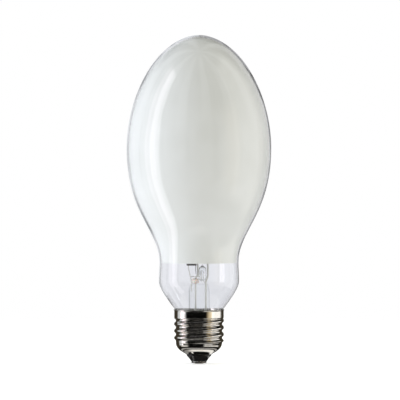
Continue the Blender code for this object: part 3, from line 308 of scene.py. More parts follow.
def bump(height, distance, strength=1.0, normal=None):
    """Return a normal bumped by a height."""
    inputs = {"Height": height, "Distance": distance, "Strength": strength}
    if normal is not None:
        inputs["Normal"] = normal
    return add(height.id_data, "Bump", inputs).outputs["Normal"]


def new_material(name):
    """Return a new material, its node tree and its Principled shader."""
    material = bpy.data.materials.new(name)
    material.use_nodes = True
    tree = material.node_tree
    return material, tree, tree.nodes["Principled BSDF"]


def connect(shader, **sockets):
    """Feed sockets of a shader, named with underscores for spaces."""
    feed(shader, {name.replace("_", " "): value for name, value in sockets.items()})


def glass_material(name, tint, wave, wave_height, streaks=(1.0, 1.0, 1.0)):
    """Clear glass with slow waves in its surface. Lamps shine through it."""
    material, tree, shader = new_material(name)
    height = cloud(tree, wave, 2.0, 0.4, streaks)
    dust = cloud(tree, 0.9 * MM, 4.0, 0.6)
    connect(shader, Base_Color=(*tint, 1.0), Transmission_Weight=1.0, IOR=1.5,
            Roughness=ramp(dust, 0.45, 0.75, 0.0, 0.025),
            Normal=bump(height, wave_height))
    path = add(tree, "LightPath").outputs
    lit = maths("MAXIMUM", path["Is Shadow Ray"], path["Is Diffuse Ray"])
    clear = add(tree, "BsdfTransparent", {"Color": (0.95, 0.955, 0.96, 1.0)})
    surface(add(tree, "MixShader", {0: lit, 1: shader.outputs[0], 2: clear.outputs[0]}))
    return material


def coating_material():
    """White powder with a fine grain and faint clouds where it lies thicker."""
    material, tree, shader = new_material("white_powder")
    clouds = cloud(tree, 22.0 * MM, 3.0, 0.55)
    grain = cloud(tree, 0.35 * MM, 2.0, 0.6)
    colour = blend_colours(ramp(clouds, 0.3, 0.7), (0.80, 0.80, 0.785), (0.845, 0.845, 0.835))
    connect(shader, Base_Color=colour, Specular_IOR_Level=0.25,
            Roughness=ramp(grain, 0.3, 0.7, 0.62, 0.8),
            Normal=bump(grain, 0.01 * MM, 0.5))
    return material


def nickel_material():
    """Bright nickel plate with rolling marks round the shell, fine scratches and a few stains."""
    material, tree, shader = new_material("bright_nickel")
    lines = cloud(tree, 1.6 * MM, 3.0, 0.6, (0.25, 0.25, 9.0))
    stains = cloud(tree, 5.0 * MM, 4.0, 0.6)
    dents = cloud(tree, 3.2 * MM, 2.0, 0.5)
    colour = blend_colours(ramp(stains, 0.5, 0.8), (0.82, 0.795, 0.755), (0.66, 0.61, 0.53))
    roughness = maths("ADD", ramp(lines, 0.3, 0.7, 0.07, 0.16),
                      ramp(stains, 0.55, 0.8, 0.0, 0.12))
    fine = bump(lines, 0.006 * MM)
    connect(shader, Base_Color=colour, Metallic=1.0, Roughness=roughness,
            Normal=bump(dents, 0.03 * MM, 1.0, fine))
    return material


def black_glass_material():
    """Glossy black glass, cast with a slightly uneven skin."""
    material, tree, shader = new_material("cast_black_glass")
    skin = cloud(tree, 2.4 * MM, 3.0, 0.5)
    specks = cloud(tree, 0.5 * MM, 2.0, 0.7)
    colour = blend_colours(ramp(specks, 0.62, 0.75), (0.012, 0.011, 0.011), (0.05, 0.045, 0.04))
    connect(shader, Base_Color=colour, Specular_IOR_Level=0.6,
            Roughness=ramp(skin, 0.35, 0.7, 0.06, 0.2),
            Normal=bump(skin, 0.12 * MM))
    return material


def solder_material():
    """Grey solder with a wrinkled, partly dull skin."""
    material, tree, shader = new_material("grey_solder")
    skin = cloud(tree, 1.1 * MM, 5.0, 0.6)
    colour = blend_colours(ramp(skin, 0.35, 0.65), (0.5, 0.49, 0.47), (0.8, 0.79, 0.77))
    connect(shader, Base_Color=colour, Metallic=1.0,
            Roughness=ramp(skin, 0.3, 0.7, 0.45, 0.22),
            Normal=bump(skin, 0.12 * MM))
    return material


def metal_material(name, dark, bright, grain, stretch, roughness, depth, metallic=1.0):
    """Metal with drawn or rolled marks along its length. Less than 1 metallic is a dull skin."""
    material, tree, shader = new_material(name)
    marks = cloud(tree, grain, 4.0, 0.6, stretch)
    colour = blend_colours(ramp(marks, 0.3, 0.7), dark, bright)
    connect(shader, Base_Color=colour, Metallic=metallic,
            Roughness=ramp(marks, 0.3, 0.7, *roughness),
            Normal=bump(marks, depth))
    return material


def ceramic_material(name, dark, bright, grain, roughness, depth, glow=0.0):
    """Fired ceramic with a fine grain and uneven colour. Glow lets light into it."""
    material, tree, shader = new_material(name)
    patches = cloud(tree, 6.0 * grain, 3.0, 0.5)
    grains = cloud(tree, grain, 3.0, 0.6)
    colour = blend_colours(ramp(patches, 0.3, 0.7), dark, bright)
    connect(shader, Base_Color=colour, Subsurface_Weight=glow, Subsurface_Scale=1.0 * MM,
            Roughness=ramp(grains, 0.3, 0.7, *roughness),
            Normal=bump(grains, depth))
    return material


def shares(steps, first=0):
    """Return even shares of a whole, from the first step's share to 1."""
    return [step / steps for step in range(first, steps + 1)]


def turn(count):
    """Return even angles round a full turn."""
    return [2.0 * math.pi * step / count for step in range(count)]


def eased(share):
    """Clamp a share between 0 and 1 and ease both ends."""
    share = min(1.0, max(0.0, share))
    return share * share * (3.0 - 2.0 * share)


def directions(points):
    """Return the direction of a line at each of its points."""
    last = len(points) - 1
    ends = [(points[max(index - 1, 0)], points[min(index + 1, last)]) for index in range(last + 1)]
    return [Vector([b - a for a, b in zip(before, after)]).normalized() for before, after in ends]


def curve_points(start, start_handle, end_handle, end, steps):
    """Return evenly shared (r, z) points on a cubic curve, both ends included."""
    points = []
    for share in shares(steps):
        rest = 1.0 - share
        weights = (rest ** 3, 3.0 * rest ** 2 * share, 3.0 * rest * share ** 2, share ** 3)
        pairs = list(zip(weights, (start, start_handle, end_handle, end)))
        points.append(tuple(sum(weight * knot[axis] for weight, knot in pairs) for axis in (0, 1)))
    return points


def arc(centre, radius, start, end, steps):
    """Return points on an arc. Angles are in degrees."""
    angles = [math.radians(start + (end - start) * share) for share in shares(steps)]
    return [(centre[0] + radius * math.cos(a), centre[1] + radius * math.sin(a)) for a in angles]


def offset_outline(points, distance):
    """Move an (r, z) outline that runs upwards towards the axis side by a distance."""
    moved = [(radius - run.y * distance, height + run.x * distance)
             for (radius, height), run in zip(points, directions(points))]
    if points[-1][0] == 0.0:
        moved[-1] = (0.0, points[-1][1] - distance)
    return moved


def upright_curve(low, high, low_handle, high_handle, steps):
    """Return points on a curve that stands upright at both of its (r, z) ends."""
    rise = high[1] - low[1]
    return curve_points(low, (low[0], low[1] + low_handle * rise),
                        (high[0], high[1] - high_handle * rise), high, steps)


def neck_outline():
    """Return the bulb's outline from its lower end over the bulge to just under the waist."""
    bulge = (BULGE_RADIUS, BULGE_Z)
    neck = upright_curve((NECK_RADIUS, NECK_BOTTOM + NECK_STRAIGHT), bulge, *NECK_HANDLES, 26)
    shoulder = upright_curve(bulge, (WAIST_RADIUS, WAIST_Z), *SHOULDER_HANDLES, 8)
    return [(NECK_RADIUS, NECK_BOTTOM)] + neck + shoulder[1:-1]


def coated_outline():
    """Return the outside of the glass from the waist to the pole."""
    outline = upright_curve((WAIST_RADIUS, WAIST_Z), (BULB_RADIUS, WIDEST_Z), *BODY_HANDLES, 40)
    power = 2.0 / DOME_FULLNESS
    for share in shares(44, 1)[:-1]:
        angle = 0.5 * math.pi * share
        outline.append((BULB_RADIUS * math.cos(angle) ** power,
                        WIDEST_Z + (TOP_Z - WIDEST_Z) * math.sin(angle) ** power))
    return outline + [(0.0, TOP_Z)]


def new_object(name, data):
    """Add an object to the scene."""
    obj = bpy.data.objects.new(name, data)
    bpy.context.collection.objects.link(obj)
    return obj


def finish_mesh(name, bm, material, sharp=40.0):
    """Turn a bmesh into a smooth object with the material."""
    bmesh.ops.recalc_face_normals(bm, faces=bm.faces)
    mesh = bpy.data.meshes.new(name)
    bm.to_mesh(mesh)
    bm.free()
    mesh.shade_smooth()
    mesh.set_sharp_from_angle(angle=math.radians(sharp))
    mesh.materials.append(material)
    return new_object(name, mesh)


def join_rings(bm, rings, close=True):
    """Add faces between neighbouring rings, which may be single poles."""
    for low, high in zip(rings, rings[1:]):
        count = max(len(low), len(high))
        for index in range(count if close else count - 1):
            after = (index + 1) % count
            corners = (low[index % len(low)], low[after % len(low)],
                       high[after % len(high)], high[index % len(high)])
            if count > 1:
                bm.faces.new(list(dict.fromkeys(corners)))


def lathe(name, outline, material, segments, ring=False, centre=(0.0, 0.0), shape=None, sharp=40.0):
    """Turn an (r, z) outline round a vertical axis. Shape may move each point a little."""
    bm = bmesh.new()
    rings = []
    for radius, height in outline:
        count = segments if radius > 1e-7 else 1
        row = []
        for angle in turn(segments)[:count]:
            point = Vector((radius * math.cos(angle), radius * math.sin(angle), height))
            if shape is not None:
                point = shape(point)
            row.append(bm.verts.new(point + Vector((*centre, 0.0))))
        rings.append(row)
    if ring:
        rings.append(rings[0])
    join_rings(bm, rings)
    return finish_mesh(name, bm, material, sharp)


def rounded_path(corners, radius, steps=7):
    """Return the corner points with each inner corner replaced by an arc."""
    points = [Vector(corner) for corner in corners]
    path = [points[0]]
    for before, corner, after in zip(points, points[1:], points[2:]):
        inward = (before - corner).normalized()
        outward = (after - corner).normalized()
        bend = math.pi - inward.angle(outward)
        if bend < 0.01:
            path.append(corner)
            continue
        room = 0.45 * min((before - corner).length, (after - corner).length)
        reach = min(radius * math.tan(bend / 2.0), room)
        arc_radius = reach / math.tan(bend / 2.0)
        centre = corner + (inward + outward).normalized() * math.hypot(arc_radius, reach)
        start = corner + inward * reach - centre
        end = corner + outward * reach - centre
        for share in shares(steps):
            arm = start * math.sin((1.0 - share) * bend) + end * math.sin(share * bend)
            path.append(centre + arm / math.sin(bend))
    path.append(points[-1])
    return path


def wire(name, path, radius, material, sides):
    """Make a round wire along the path, with slightly domed cut ends."""
    tangents = directions(path)
    first = path[0] - DOMED_END * radius * tangents[0]
    last = path[-1] + DOMED_END * radius * tangents[-1]
    stations = [(first, tangents[0], 0.0), (first, tangents[0], CUT_END)]
    stations += [(point, tangent, 1.0) for point, tangent in zip(path, tangents)]
    stations += [(last, tangents[-1], CUT_END), (last, tangents[-1], 0.0)]
    side = tangents[0].orthogonal().normalized()
    bm = bmesh.new()
    rings = []
    for centre, tangent, share in stations:
        side = (side - tangent * side.dot(tangent)).normalized()
        other = tangent.cross(side)
        arms = [side * math.cos(angle) + other * math.sin(angle) for angle in turn(sides)]
        rings.append([bm.verts.new(centre + arm * radius * share) for arm in arms[:sides if share else 1]])
    join_rings(bm, rings)
    return finish_mesh(name, bm, material)


def strip(name, path, width, thickness, material, across):
    """Sweep a flat strip with broken edges along a path. Its width lies along the across direction."""
    side = Vector(across)
    edge = 0.25 * thickness
    half_width = width / 2.0
    half_sheet = thickness / 2.0
    corners = []
    for x, y in ((-1.0, -1.0), (1.0, -1.0), (1.0, 1.0), (-1.0, 1.0)):
        broken = [(x * half_width, y * (half_sheet - edge)), (x * (half_width - edge), y * half_sheet)]
        corners += broken if x == y else broken[::-1]
    bm = bmesh.new()
    rings = []
    for point, run in zip(path, directions(path)):
        normal = run.cross(side).normalized()
        rings.append([bm.verts.new(Vector(point) + side * along + normal * out) for along, out in corners])
    join_rings(bm, rings)
    bm.faces.new(rings[0])
    bm.faces.new(rings[-1])
    return finish_mesh(name, bm, material, 30.0)


def oval(bm, height, half_x, half_y, power, sides):
    """Add a ring of points on an oval. The power ROUND is an ellipse, more is squarer."""
    ring = []
    for angle in turn(sides):
        cosine = math.cos(angle)
        sine = math.sin(angle)
        x = math.copysign(half_x * abs(cosine) ** (ROUND / power), cosine)
        y = math.copysign(half_y * abs(sine) ** (ROUND / power), sine)
        ring.append(bm.verts.new((x, y, height)))
    return ring


def place(obj, slot, node):
    """Let a piece ride with the frame, in place of its node. The slot is not used."""
    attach(obj, "root")
    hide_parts(node)


def build_bulb(material):
    """Blown bulb: one clear skin of glass with a rounded lower edge."""
    outside = neck_outline() + coated_outline()
    inside = offset_outline(outside, GLASS_WALL)
    middle = NECK_RADIUS - GLASS_WALL / 2.0
    edge = arc((middle, NECK_BOTTOM + GLASS_WALL / 2.0), GLASS_WALL / 2.0, -180.0, 0.0, 6)
    outline = inside[::-1][:-1] + edge + outside[1:]
    bulb = lathe("glass_bulb", outline, material, 144)
    place(bulb, "bulb_glass", "outer_bulb")


def build_coating(material):
    """Powder on the inside of the glass, ending in a level line at the waist."""
    depth = GLASS_WALL + COATING_GAP
    outside = offset_outline(coated_outline(), depth)
    inside = offset_outline(coated_outline(), depth + COATING_THICKNESS)

    def uneven(point):
        """Lower the very edge of the powder by a hair's breadth here and there."""
        if point.z > WAIST_Z + COATING_EDGE:
            return point
        angle = math.atan2(point.y, point.x)
        ripple = noise.noise(Vector((3.0 * math.cos(angle), 3.0 * math.sin(angle), 0.0)))
        return point + Vector((0.0, 0.0, COATING_RIPPLE * ripple))

    coating = lathe("powder_coating", outside + inside[::-1], material, 128, ring=True, shape=uneven)
    place(coating, "white_coating", "diffuser_coating")


def shell_base_outline(steps):
    """Return the shell's rounded base from its mouth up to the thread."""
    run = BASE_LOW_HANDLE * BASE_HEIGHT
    return curve_points(
        (MOUTH_RADIUS, MOUTH_Z),
        (MOUTH_RADIUS + run * math.cos(BASE_ANGLE), MOUTH_Z + run * math.sin(BASE_ANGLE)),
        (THREAD_ROOT_RADIUS, THREAD_BOTTOM - BASE_HIGH_HANDLE * BASE_HEIGHT),
        (THREAD_ROOT_RADIUS, THREAD_BOTTOM), steps)


def thread_radius(height, angle):
    """Return the rolled thread's radius, made of round crests and round roots."""
    turns = (height - THREAD_BOTTOM) / THREAD_PITCH - (angle - THREAD_START) / (2.0 * math.pi)
    half_pitch = THREAD_PITCH / 2.0
    from_crest = abs(turns - round(turns)) * THREAD_PITCH
    arc_radius = (half_pitch ** 2 + THREAD_DEPTH ** 2) / (4.0 * THREAD_DEPTH)
    if from_crest < half_pitch / 2.0:
        drop = arc_radius - math.sqrt(arc_radius ** 2 - from_crest ** 2)
        rise = THREAD_DEPTH - drop
    else:
        rise = arc_radius - math.sqrt(arc_radius ** 2 - (half_pitch - from_crest) ** 2)
    fade_in = eased((height - THREAD_BOTTOM) / THREAD_FADE)
    fade_out = eased((height - THREAD_TOP + THREAD_FADE) / THREAD_FADE)
    threaded = THREAD_ROOT_RADIUS + rise * fade_in
    return threaded + (BAND_RADIUS - threaded) * fade_out


def build_shell(material):
    """Screw shell: thin sheet with a flared lip, a plain band, the rolled thread and a rounded base."""
    segments = 160
    angles = turn(segments)
    rows = [[point] * segments for point in shell_base_outline(14)[:-1]]
    for share in shares(72):
        height = THREAD_BOTTOM + (THREAD_TOP - THREAD_BOTTOM) * share
        rows.append([(thread_radius(height, angle), height) for angle in angles])
    lip = curve_points((BAND_RADIUS, RIM_Z - LIP_HEIGHT), (BAND_RADIUS, RIM_Z - 0.45 * LIP_HEIGHT),
                       (LIP_RADIUS, RIM_Z - 0.5 * LIP_HEIGHT), (LIP_RADIUS, RIM_Z - SHEET / 2.0), 6)
    band_middle = (BAND_RADIUS, (THREAD_TOP + RIM_Z - LIP_HEIGHT) / 2.0)
    rows += [[point] * segments for point in [band_middle] + lip]
    walls = [offset_outline(outline, SHEET)[-2::-1] for outline in zip(*rows)]
    centre = (LIP_RADIUS - SHEET / 2.0, RIM_Z - SHEET / 2.0)
    rows += [[point] * segments for point in arc(centre, SHEET / 2.0, 0.0, 180.0, 6)[1:]]
    rows += list(zip(*walls))
    bm = bmesh.new()
    rings = [
        [bm.verts.new((radius * math.cos(angle), radius * math.sin(angle), height))
         for (radius, height), angle in zip(row, angles)]
        for row in rows]
    join_rings(bm, rings + rings[:1])
    shell = finish_mesh("screw_shell", bm, material, 50.0)
    place(shell, "nickel_plate", "cap_shell")


def build_insulator(material):
    """Cast black glass between the shell and the contact, with soft edges and shallow flutes."""
    low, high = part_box("cap_insulator")
    foot_radius = 4.45 * MM
    foot_edge = 0.35 * MM
    top_radius = high.x - 0.3 * MM
    collar_hole = 1.7 * MM
    collar_top = CONTACT_HIGH.z + SEAT_GAP
    seat = MOUTH_RADIUS - SHEET - 0.15 * MM
    outline = [(LEAD_HOLE, collar_top), (collar_hole, collar_top), (collar_hole, low.z)]
    outline += arc((foot_radius - foot_edge, low.z + foot_edge), foot_edge, -90.0, -40.0, 4)
    outline += curve_points(
        (foot_radius + 0.05 * MM, low.z + 0.4 * MM), (5.35 * MM, low.z + 1.7 * MM),
        (6.15 * MM, MOUTH_Z - 1.3 * MM), (MOUTH_RADIUS - 0.1 * MM, MOUTH_Z - 0.55 * MM), 12)
    outline += arc((MOUTH_RADIUS - 0.3 * MM, MOUTH_Z - 0.5 * MM), 0.2 * MM, -10.0, 90.0, 4)
    outline += [(seat, MOUTH_Z - 0.2 * MM), (seat, MOUTH_Z + 0.75 * MM),
                (high.x - 1.4 * MM, high.z - 1.2 * MM), (top_radius, high.z - 0.9 * MM),
                (top_radius, high.z - 0.2 * MM), (top_radius - 0.3 * MM, high.z), (LEAD_HOLE, high.z)]

    def flutes(point):
        """Shallow mould flutes round the visible cone."""
        if point.z > MOUTH_Z - 0.6 * MM or math.hypot(point.x, point.y) < 3.0 * MM:
            return point
        angle = math.atan2(point.y, point.x)
        scale = 1.0 - FLUTE_DEPTH * (0.5 + 0.5 * math.cos(FLUTES * angle))
        return Vector((point.x * scale, point.y * scale, point.z))

    insulator = lathe("black_insulator", outline, material, 96, ring=True, shape=flutes)
    place(insulator, "black_glass", "cap_insulator")


def build_contact(material):
    """Domed contact plate with a rolled edge and a hole that the solder fills."""
    top = 1.2 * MM
    radius = CONTACT_HIGH.x
    recess = 2.6 * MM
    collar = 1.4 * MM
    roof = 1.05 * MM
    outline = [(LEAD_HOLE, roof), (recess - 0.5 * MM, roof - 0.1 * MM), (recess - 0.1 * MM, 0.42 * MM)]
    outline += arc((recess + 0.12 * MM, 0.42 * MM), 0.14 * MM, 180.0, 270.0, 4)
    outline += curve_points((recess + 0.3 * MM, 0.3 * MM), (recess + 0.8 * MM, 0.36 * MM),
                            (radius - 0.12 * MM, 0.55 * MM), (radius, 0.95 * MM), 8)
    outline += arc((radius - 0.22 * MM, top - 0.22 * MM), 0.22 * MM, 5.0, 90.0, 5)
    outline += [(collar, top), (collar, CONTACT_HIGH.z), (LEAD_HOLE, CONTACT_HIGH.z)]
    contact = lathe("contact_plate", outline, material, 72, ring=True)
    place(contact, "nickel_plate", "centre_contact")


def build_contact_solder(material):
    """Solder drop, flattened where it meets the holder's spring."""
    low, top = [corner.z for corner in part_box("contact_solder")]
    outline = [(0.0, top), (0.3 * MM, top), (1.5 * MM, 0.42 * MM), (2.05 * MM, 0.22 * MM)]
    outline += arc((2.0 * MM, low + 0.14 * MM), 0.14 * MM, 20.0, -70.0, 4)
    outline += [(1.7 * MM, low + 0.01 * MM), (1.1 * MM, low), (0.0, low)]

    def lumpy(point):
        """Uneven skin, never below the flat."""
        wave = noise.noise(point / (0.9 * MM))
        grown = point * (1.0 + 0.05 * wave)
        return Vector((grown.x, grown.y, max(low, point.z + 0.04 * MM * wave)))

    solder = lathe("solder_drop", outline, material, 48, shape=lumpy)
    place(solder, "solder", "contact_solder")


def build_rim_solder(material):
    """Small uneven solder joint that lies on the rim at the back."""
    bm = bmesh.new()
    bmesh.ops.create_uvsphere(bm, u_segments=32, v_segments=20, radius=1.0)
    low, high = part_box("rim_solder")
    middle = (low + high) / 2.0
    half = (high - low) / 2.0
    against = LIP_RADIUS - 0.02 * MM
    for vertex in bm.verts:
        point = vertex.co.copy()
        squared = Vector([math.copysign(abs(value) ** 0.85, value) for value in point])
        squared *= 0.97 + 0.03 * noise.noise(point * 2.2)
        vertex.co.x = middle.x + half.x * squared.x
        vertex.co.y = against + (high.y - against) * max(0.0, squared.y)
        vertex.co.z = middle.z + half.z * squared.z
    place(finish_mesh("rim_joint", bm, material), "solder", "rim_solder")


def build_stem(material):
    """Glass stem: flared foot, tube and flattened press with round shoulders."""
    sides = 64
    flare_bottom = STEM_LOW.z
    lip_top = flare_bottom + FLARE_LIP
    flare_top = flare_bottom + FLARE_HEIGHT
    taper_low = PRESS_BOTTOM - PRESS_TAPER
    neck_inside = NECK_RADIUS - GLASS_WALL - SEAT_GAP
    bore = STEM_RADIUS - STEM_WALL

    def flare(bottom, narrow):
        """Return round sections that narrow from the neck's inside to the tube."""
        sections = []
        for share in shares(8):
            radius = neck_inside + (narrow - neck_inside) * math.sin(share * math.pi / 2.0)
            sections.append((bottom + (flare_top - bottom) * share, radius, radius, ROUND))
        return sections

    outer = [(flare_bottom, NECK_RADIUS, NECK_RADIUS, ROUND), (lip_top, NECK_RADIUS, NECK_RADIUS, ROUND)]
    outer += flare(lip_top, STEM_RADIUS)
    for share in shares(10, 1):
        half = STEM_RADIUS + (PRESS_HALF - STEM_RADIUS) * eased(share)
        power = ROUND + (PRESS_SQUARENESS - ROUND) * share ** 2
        outer.append((taper_low + PRESS_TAPER * share, STEM_RADIUS, half, power))
    shoulder_z = PRESS_TOP - PRESS_SHOULDER_HEIGHT
    for height in (PRESS_BOTTOM + 0.4 * MM, shoulder_z - 0.5 * MM):
        outer.append((height, STEM_RADIUS, PRESS_HALF, PRESS_SQUARENESS))
    for share in shares(14)[:-1]:
        inset = PRESS_SHOULDER * (1.0 - math.cos(share * math.pi / 2.0))
        height = shoulder_z + PRESS_SHOULDER_HEIGHT * math.sin(share * math.pi / 2.0)
        thin = 0.15 * PRESS_HALF * max(0.0, (height - PRESS_TOP) / PRESS_HALF + 1.0) ** 2
        outer.append((height, STEM_RADIUS - inset, PRESS_HALF - thin, PRESS_SQUARENESS))
    inner = flare(flare_bottom, bore)
    for share in shares(8, 1):
        height = taper_low + (CAVITY_TOP - taper_low) * share
        shrink = math.sqrt(max(0.0, 1.0 - share ** 2))
        inner.append((height, bore * (0.35 + 0.65 * shrink), bore * (0.05 + 0.95 * shrink), ROUND))
    bm = bmesh.new()
    outer_rings = [oval(bm, *section, sides) for section in outer]
    inner_rings = [oval(bm, *section, sides) for section in inner]
    outer_rings.append([bm.verts.new((0.0, 0.0, PRESS_TOP))])
    inner_rings.append([bm.verts.new((0.0, 0.0, CAVITY_TOP))])
    join_rings(bm, inner_rings[::-1] + outer_rings)
    stem = finish_mesh("press_stem", bm, material, 60.0)
    place(stem, "mount_glass", "glass_stem")


def bent_wire(node, name, corners, bend, radius, material, sides):
    """Build a wire piece that runs through its corners with round bends."""
    piece = wire(name, rounded_path(corners, bend), radius, material, sides)
    place(piece, "nickel_wire", node)


def build_rods(material):
    """The two stiff rods and the thin switch post."""
    strap_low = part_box("lower_strap")[0].z
    shoulder_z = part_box("upper_feedthrough")[1].z + SEAT_GAP + BEND_RADIUS
    side = ROD_LOW.x + ROD_RADIUS
    bead_top = BEAD_HIGH.z
    corners = [
        (FRAME_ROD_X, 0.0, ROD_LOW.z),
        (FRAME_ROD_X, 0.0, bead_top + 0.5 * SMALL_BEND),
        (FRAME_JOG_X, 0.0, bead_top + 2.0 * SMALL_BEND),
        (FRAME_JOG_X - FRAME_JOG_LEAN, 0.0, BRIDGE_Z + 2.0 * BRIDGE_HEIGHT),
        (side, 0.0, strap_low - FRAME_BEND_BELOW_STRAP),
        (side, 0.0, shoulder_z - 2.0 * BEND_RADIUS),
        (0.0, 0.0, shoulder_z),
        (0.0, 0.0, ROD_HIGH.z)]
    bent_wire("frame_rod", "bent_frame_rod", corners, BEND_RADIUS, ROD_RADIUS, material, 20)
    corners = [
        (RETURN_ROD_X, 0.0, RETURN_LOW.z),
        (RETURN_ROD_X, 0.0, PRESS_TOP + SMALL_BEND),
        (RETURN_TOP_X, RETURN_TOP_Y, PRESS_TOP + 4.0 * SMALL_BEND),
        (RETURN_TOP_X, RETURN_TOP_Y, RETURN_HIGH.z)]
    bent_wire("return_rod", "bent_return_rod", corners, BEND_RADIUS, ROD_RADIUS, material, 20)
    corners = [
        (POST_X, 0.0, POST_LOW.z),
        (POST_X, 0.0, PRESS_TOP + SMALL_BEND),
        (POST_TOP_X, POST_TOP_Y, BRIDGE_Z - 2.0 * BRIDGE_HEIGHT),
        (POST_TOP_X, POST_TOP_Y, POST_HIGH.z)]
    bent_wire("switch_post", "leaning_post", corners, SMALL_BEND, LEAD_RADIUS, material, 14)


def build_switch(material):
    """Bimetal switch: a strip hooked round the post, and the blade that hangs from it."""
    hook = LEAD_RADIUS + SEAT_GAP + BRIDGE_SHEET / 2.0
    plan = arc((POST_TOP_X, POST_TOP_Y), hook, 170.0, 270.0, 12)
    plan.append((BRIDGE_HIGH.x, POST_TOP_Y - hook))
    path = [(x, y, BRIDGE_Z) for x, y in plan]
    bridge = strip("hooked_bridge", path, BRIDGE_HEIGHT, BRIDGE_SHEET, material, (0.0, 0.0, 1.0))
    place(bridge, "bimetal", "switch_bridge")
    low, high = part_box("bimetal_blade")
    middle = (low.y + high.y) / 2.0
    size = high - low
    path = [(BLADE_TOP_X + BLADE_LEAN * share ** 2, middle, high.z - size.z * share) for share in shares(16)]
    blade = strip("hanging_blade", path, size.y, BLADE_SHEET, material, (0.0, 1.0, 0.0))
    place(blade, "bimetal", "bimetal_blade")


def build_bead(material):
    """Pressed ceramic bead with rounded ends and a seam, threaded on the frame rod."""
    low = BEAD_LOW.z
    high = BEAD_HIGH.z
    edge = 0.55 * MM
    hole = ROD_RADIUS + 0.1 * MM
    middle = (low + high) / 2.0
    outline = [(hole, low)]
    outline += arc((BEAD_RADIUS - edge, low + edge), edge, -90.0, 0.0, 6)
    outline += [(BEAD_RADIUS, middle - 0.15 * MM), (BEAD_RADIUS - 0.05 * MM, middle),
                (BEAD_RADIUS, middle + 0.15 * MM)]
    outline += arc((BEAD_RADIUS - edge, high - edge), edge, 0.0, 90.0, 6)
    outline += [(hole, high)]
    bead = lathe("pressed_bead", outline, material, 48, ring=True, centre=(FRAME_ROD_X, 0.0))
    place(bead, "steatite", "ceramic_bead")


def build_starter_bulb(glass):
    """Thin glass envelope of the glow starter, with a drawn tip."""
    low = STARTER_LOW.z
    high = low + STARTER_HEIGHT
    tip_top = STARTER_HIGH.z
    edge = 0.9 * MM
    inside_radius = STARTER_RADIUS - STARTER_WALL
    outside = arc((STARTER_RADIUS - edge, low + 1.05 * MM), edge, -62.0, 0.0, 7)
    inside = [(radius - STARTER_WALL, height) for radius, height in outside]
    outside += curve_points((STARTER_RADIUS, high - 1.6 * MM), (STARTER_RADIUS, high - 0.5 * MM),
                            (0.75 * MM, high - 0.1 * MM), (0.42 * MM, high + 0.25 * MM), 12)
    outside += curve_points((0.4 * MM, high + 0.5 * MM), (0.38 * MM, high + 0.8 * MM),
                            (0.25 * MM, tip_top), (0.0, tip_top), 6)
    inside += curve_points((inside_radius, high - 1.7 * MM), (inside_radius, high - 0.7 * MM),
                           (0.7 * MM, high - 0.3 * MM), (0.0, high - 0.1 * MM), 12)
    mouth = [(STARTER_MOUTH_RADIUS, low + 0.3 * MM), (STARTER_MOUTH_RADIUS, low + 0.1 * MM),
             (STARTER_MOUTH_RADIUS + 0.12 * MM, low)]
    outline = inside[::-1] + mouth + outside
    bulb = lathe("starter_envelope", outline, glass, 48, centre=(STARTER_X, STARTER_Y), sharp=70.0)
    place(bulb, "mount_glass", "starter_bulb")


def build_starter_leads(steel):
    """The starter's two leads, which end by the post and by the return rod."""
    low = STARTER_WIRE_LOW
    behind = ROD_RADIUS + SEAT_GAP + 2.0 * FINE_WIRE_RADIUS
    switch_z = BEAD_HIGH.z + SMALL_BEND
    straight_z = BRIDGE_Z - 2.0 * BRIDGE_HEIGHT
    bend_z = PRESS_TOP + SMALL_BEND
    share = (switch_z - bend_z) / (straight_z - bend_z)
    post_x = POST_X + (POST_TOP_X - POST_X) * share
    post_y = POST_TOP_Y * share
    reach = LEAD_RADIUS + SEAT_GAP + FINE_WIRE_RADIUS
    left_x = STARTER_X - STARTER_LEAD_HALF
    corners = [
        (left_x, STARTER_Y, low + 0.7 * STARTER_HEIGHT),
        (left_x, STARTER_Y, low),
        (left_x - 0.5 * STARTER_LEAD_HALF, behind / 2.0, low + SEAT_GAP),
        (left_x - 1.5 * STARTER_LEAD_HALF, behind, switch_z),
        (post_x + reach, behind, switch_z),
        (post_x + 0.5 * reach, post_y + reach, switch_z)]
    bent_wire("starter_lead_left", "starter_wire_left", corners, SMALL_BEND, FINE_WIRE_RADIUS, steel, 12)
    right_x = STARTER_X + STARTER_LEAD_HALF
    toward = Vector((right_x - RETURN_ROD_X, STARTER_Y, 0.0)).normalized()
    end = Vector((RETURN_ROD_X, 0.0, low - SEAT_GAP))
    end += toward * (ROD_RADIUS + SEAT_GAP + FINE_WIRE_RADIUS)
    corners = [
        (right_x, STARTER_Y, low + 0.5 * STARTER_HEIGHT),
        (right_x, STARTER_Y, low),
        end]
    bent_wire("starter_lead_right", "starter_wire_right", corners, SMALL_BEND, FINE_WIRE_RADIUS, steel, 12)


def build_starter_contact(bimetal):
    """Bimetal hook that stands by the left lead and reaches over to the right one."""
    low = STARTER_WIRE_LOW
    half = STARTER_LEAD_HALF
    sheet = STARTER_SHEET
    back = STARTER_X - half - FINE_WIRE_RADIUS - SEAT_GAP - sheet / 2.0
    over = low + 0.7 * STARTER_HEIGHT + SEAT_GAP + sheet
    tip_z = low + 0.5 * STARTER_HEIGHT + 2.0 * SEAT_GAP
    corners = [
        (back, STARTER_Y, low + 0.45 * STARTER_HEIGHT),
        (back, STARTER_Y, over - 0.7 * sheet),
        (STARTER_X - half, STARTER_Y, over + 0.7 * sheet),
        (STARTER_X + half, STARTER_Y, over - 1.3 * sheet),
        (STARTER_X + 1.4 * half, STARTER_Y, tip_z)]
    path = rounded_path(corners, STARTER_BEND, 5)
    hook = strip("starter_hook", path, STARTER_RADIUS / 2.0, sheet, bimetal, (0.0, 1.0, 0.0))
    place(hook, "bimetal", "starter_contact")


def hide(obj, *rays):
    """Keep a lamp or a stage piece out of some kinds of rays."""
    for kind in rays:
        setattr(obj, "visible_" + kind, False)


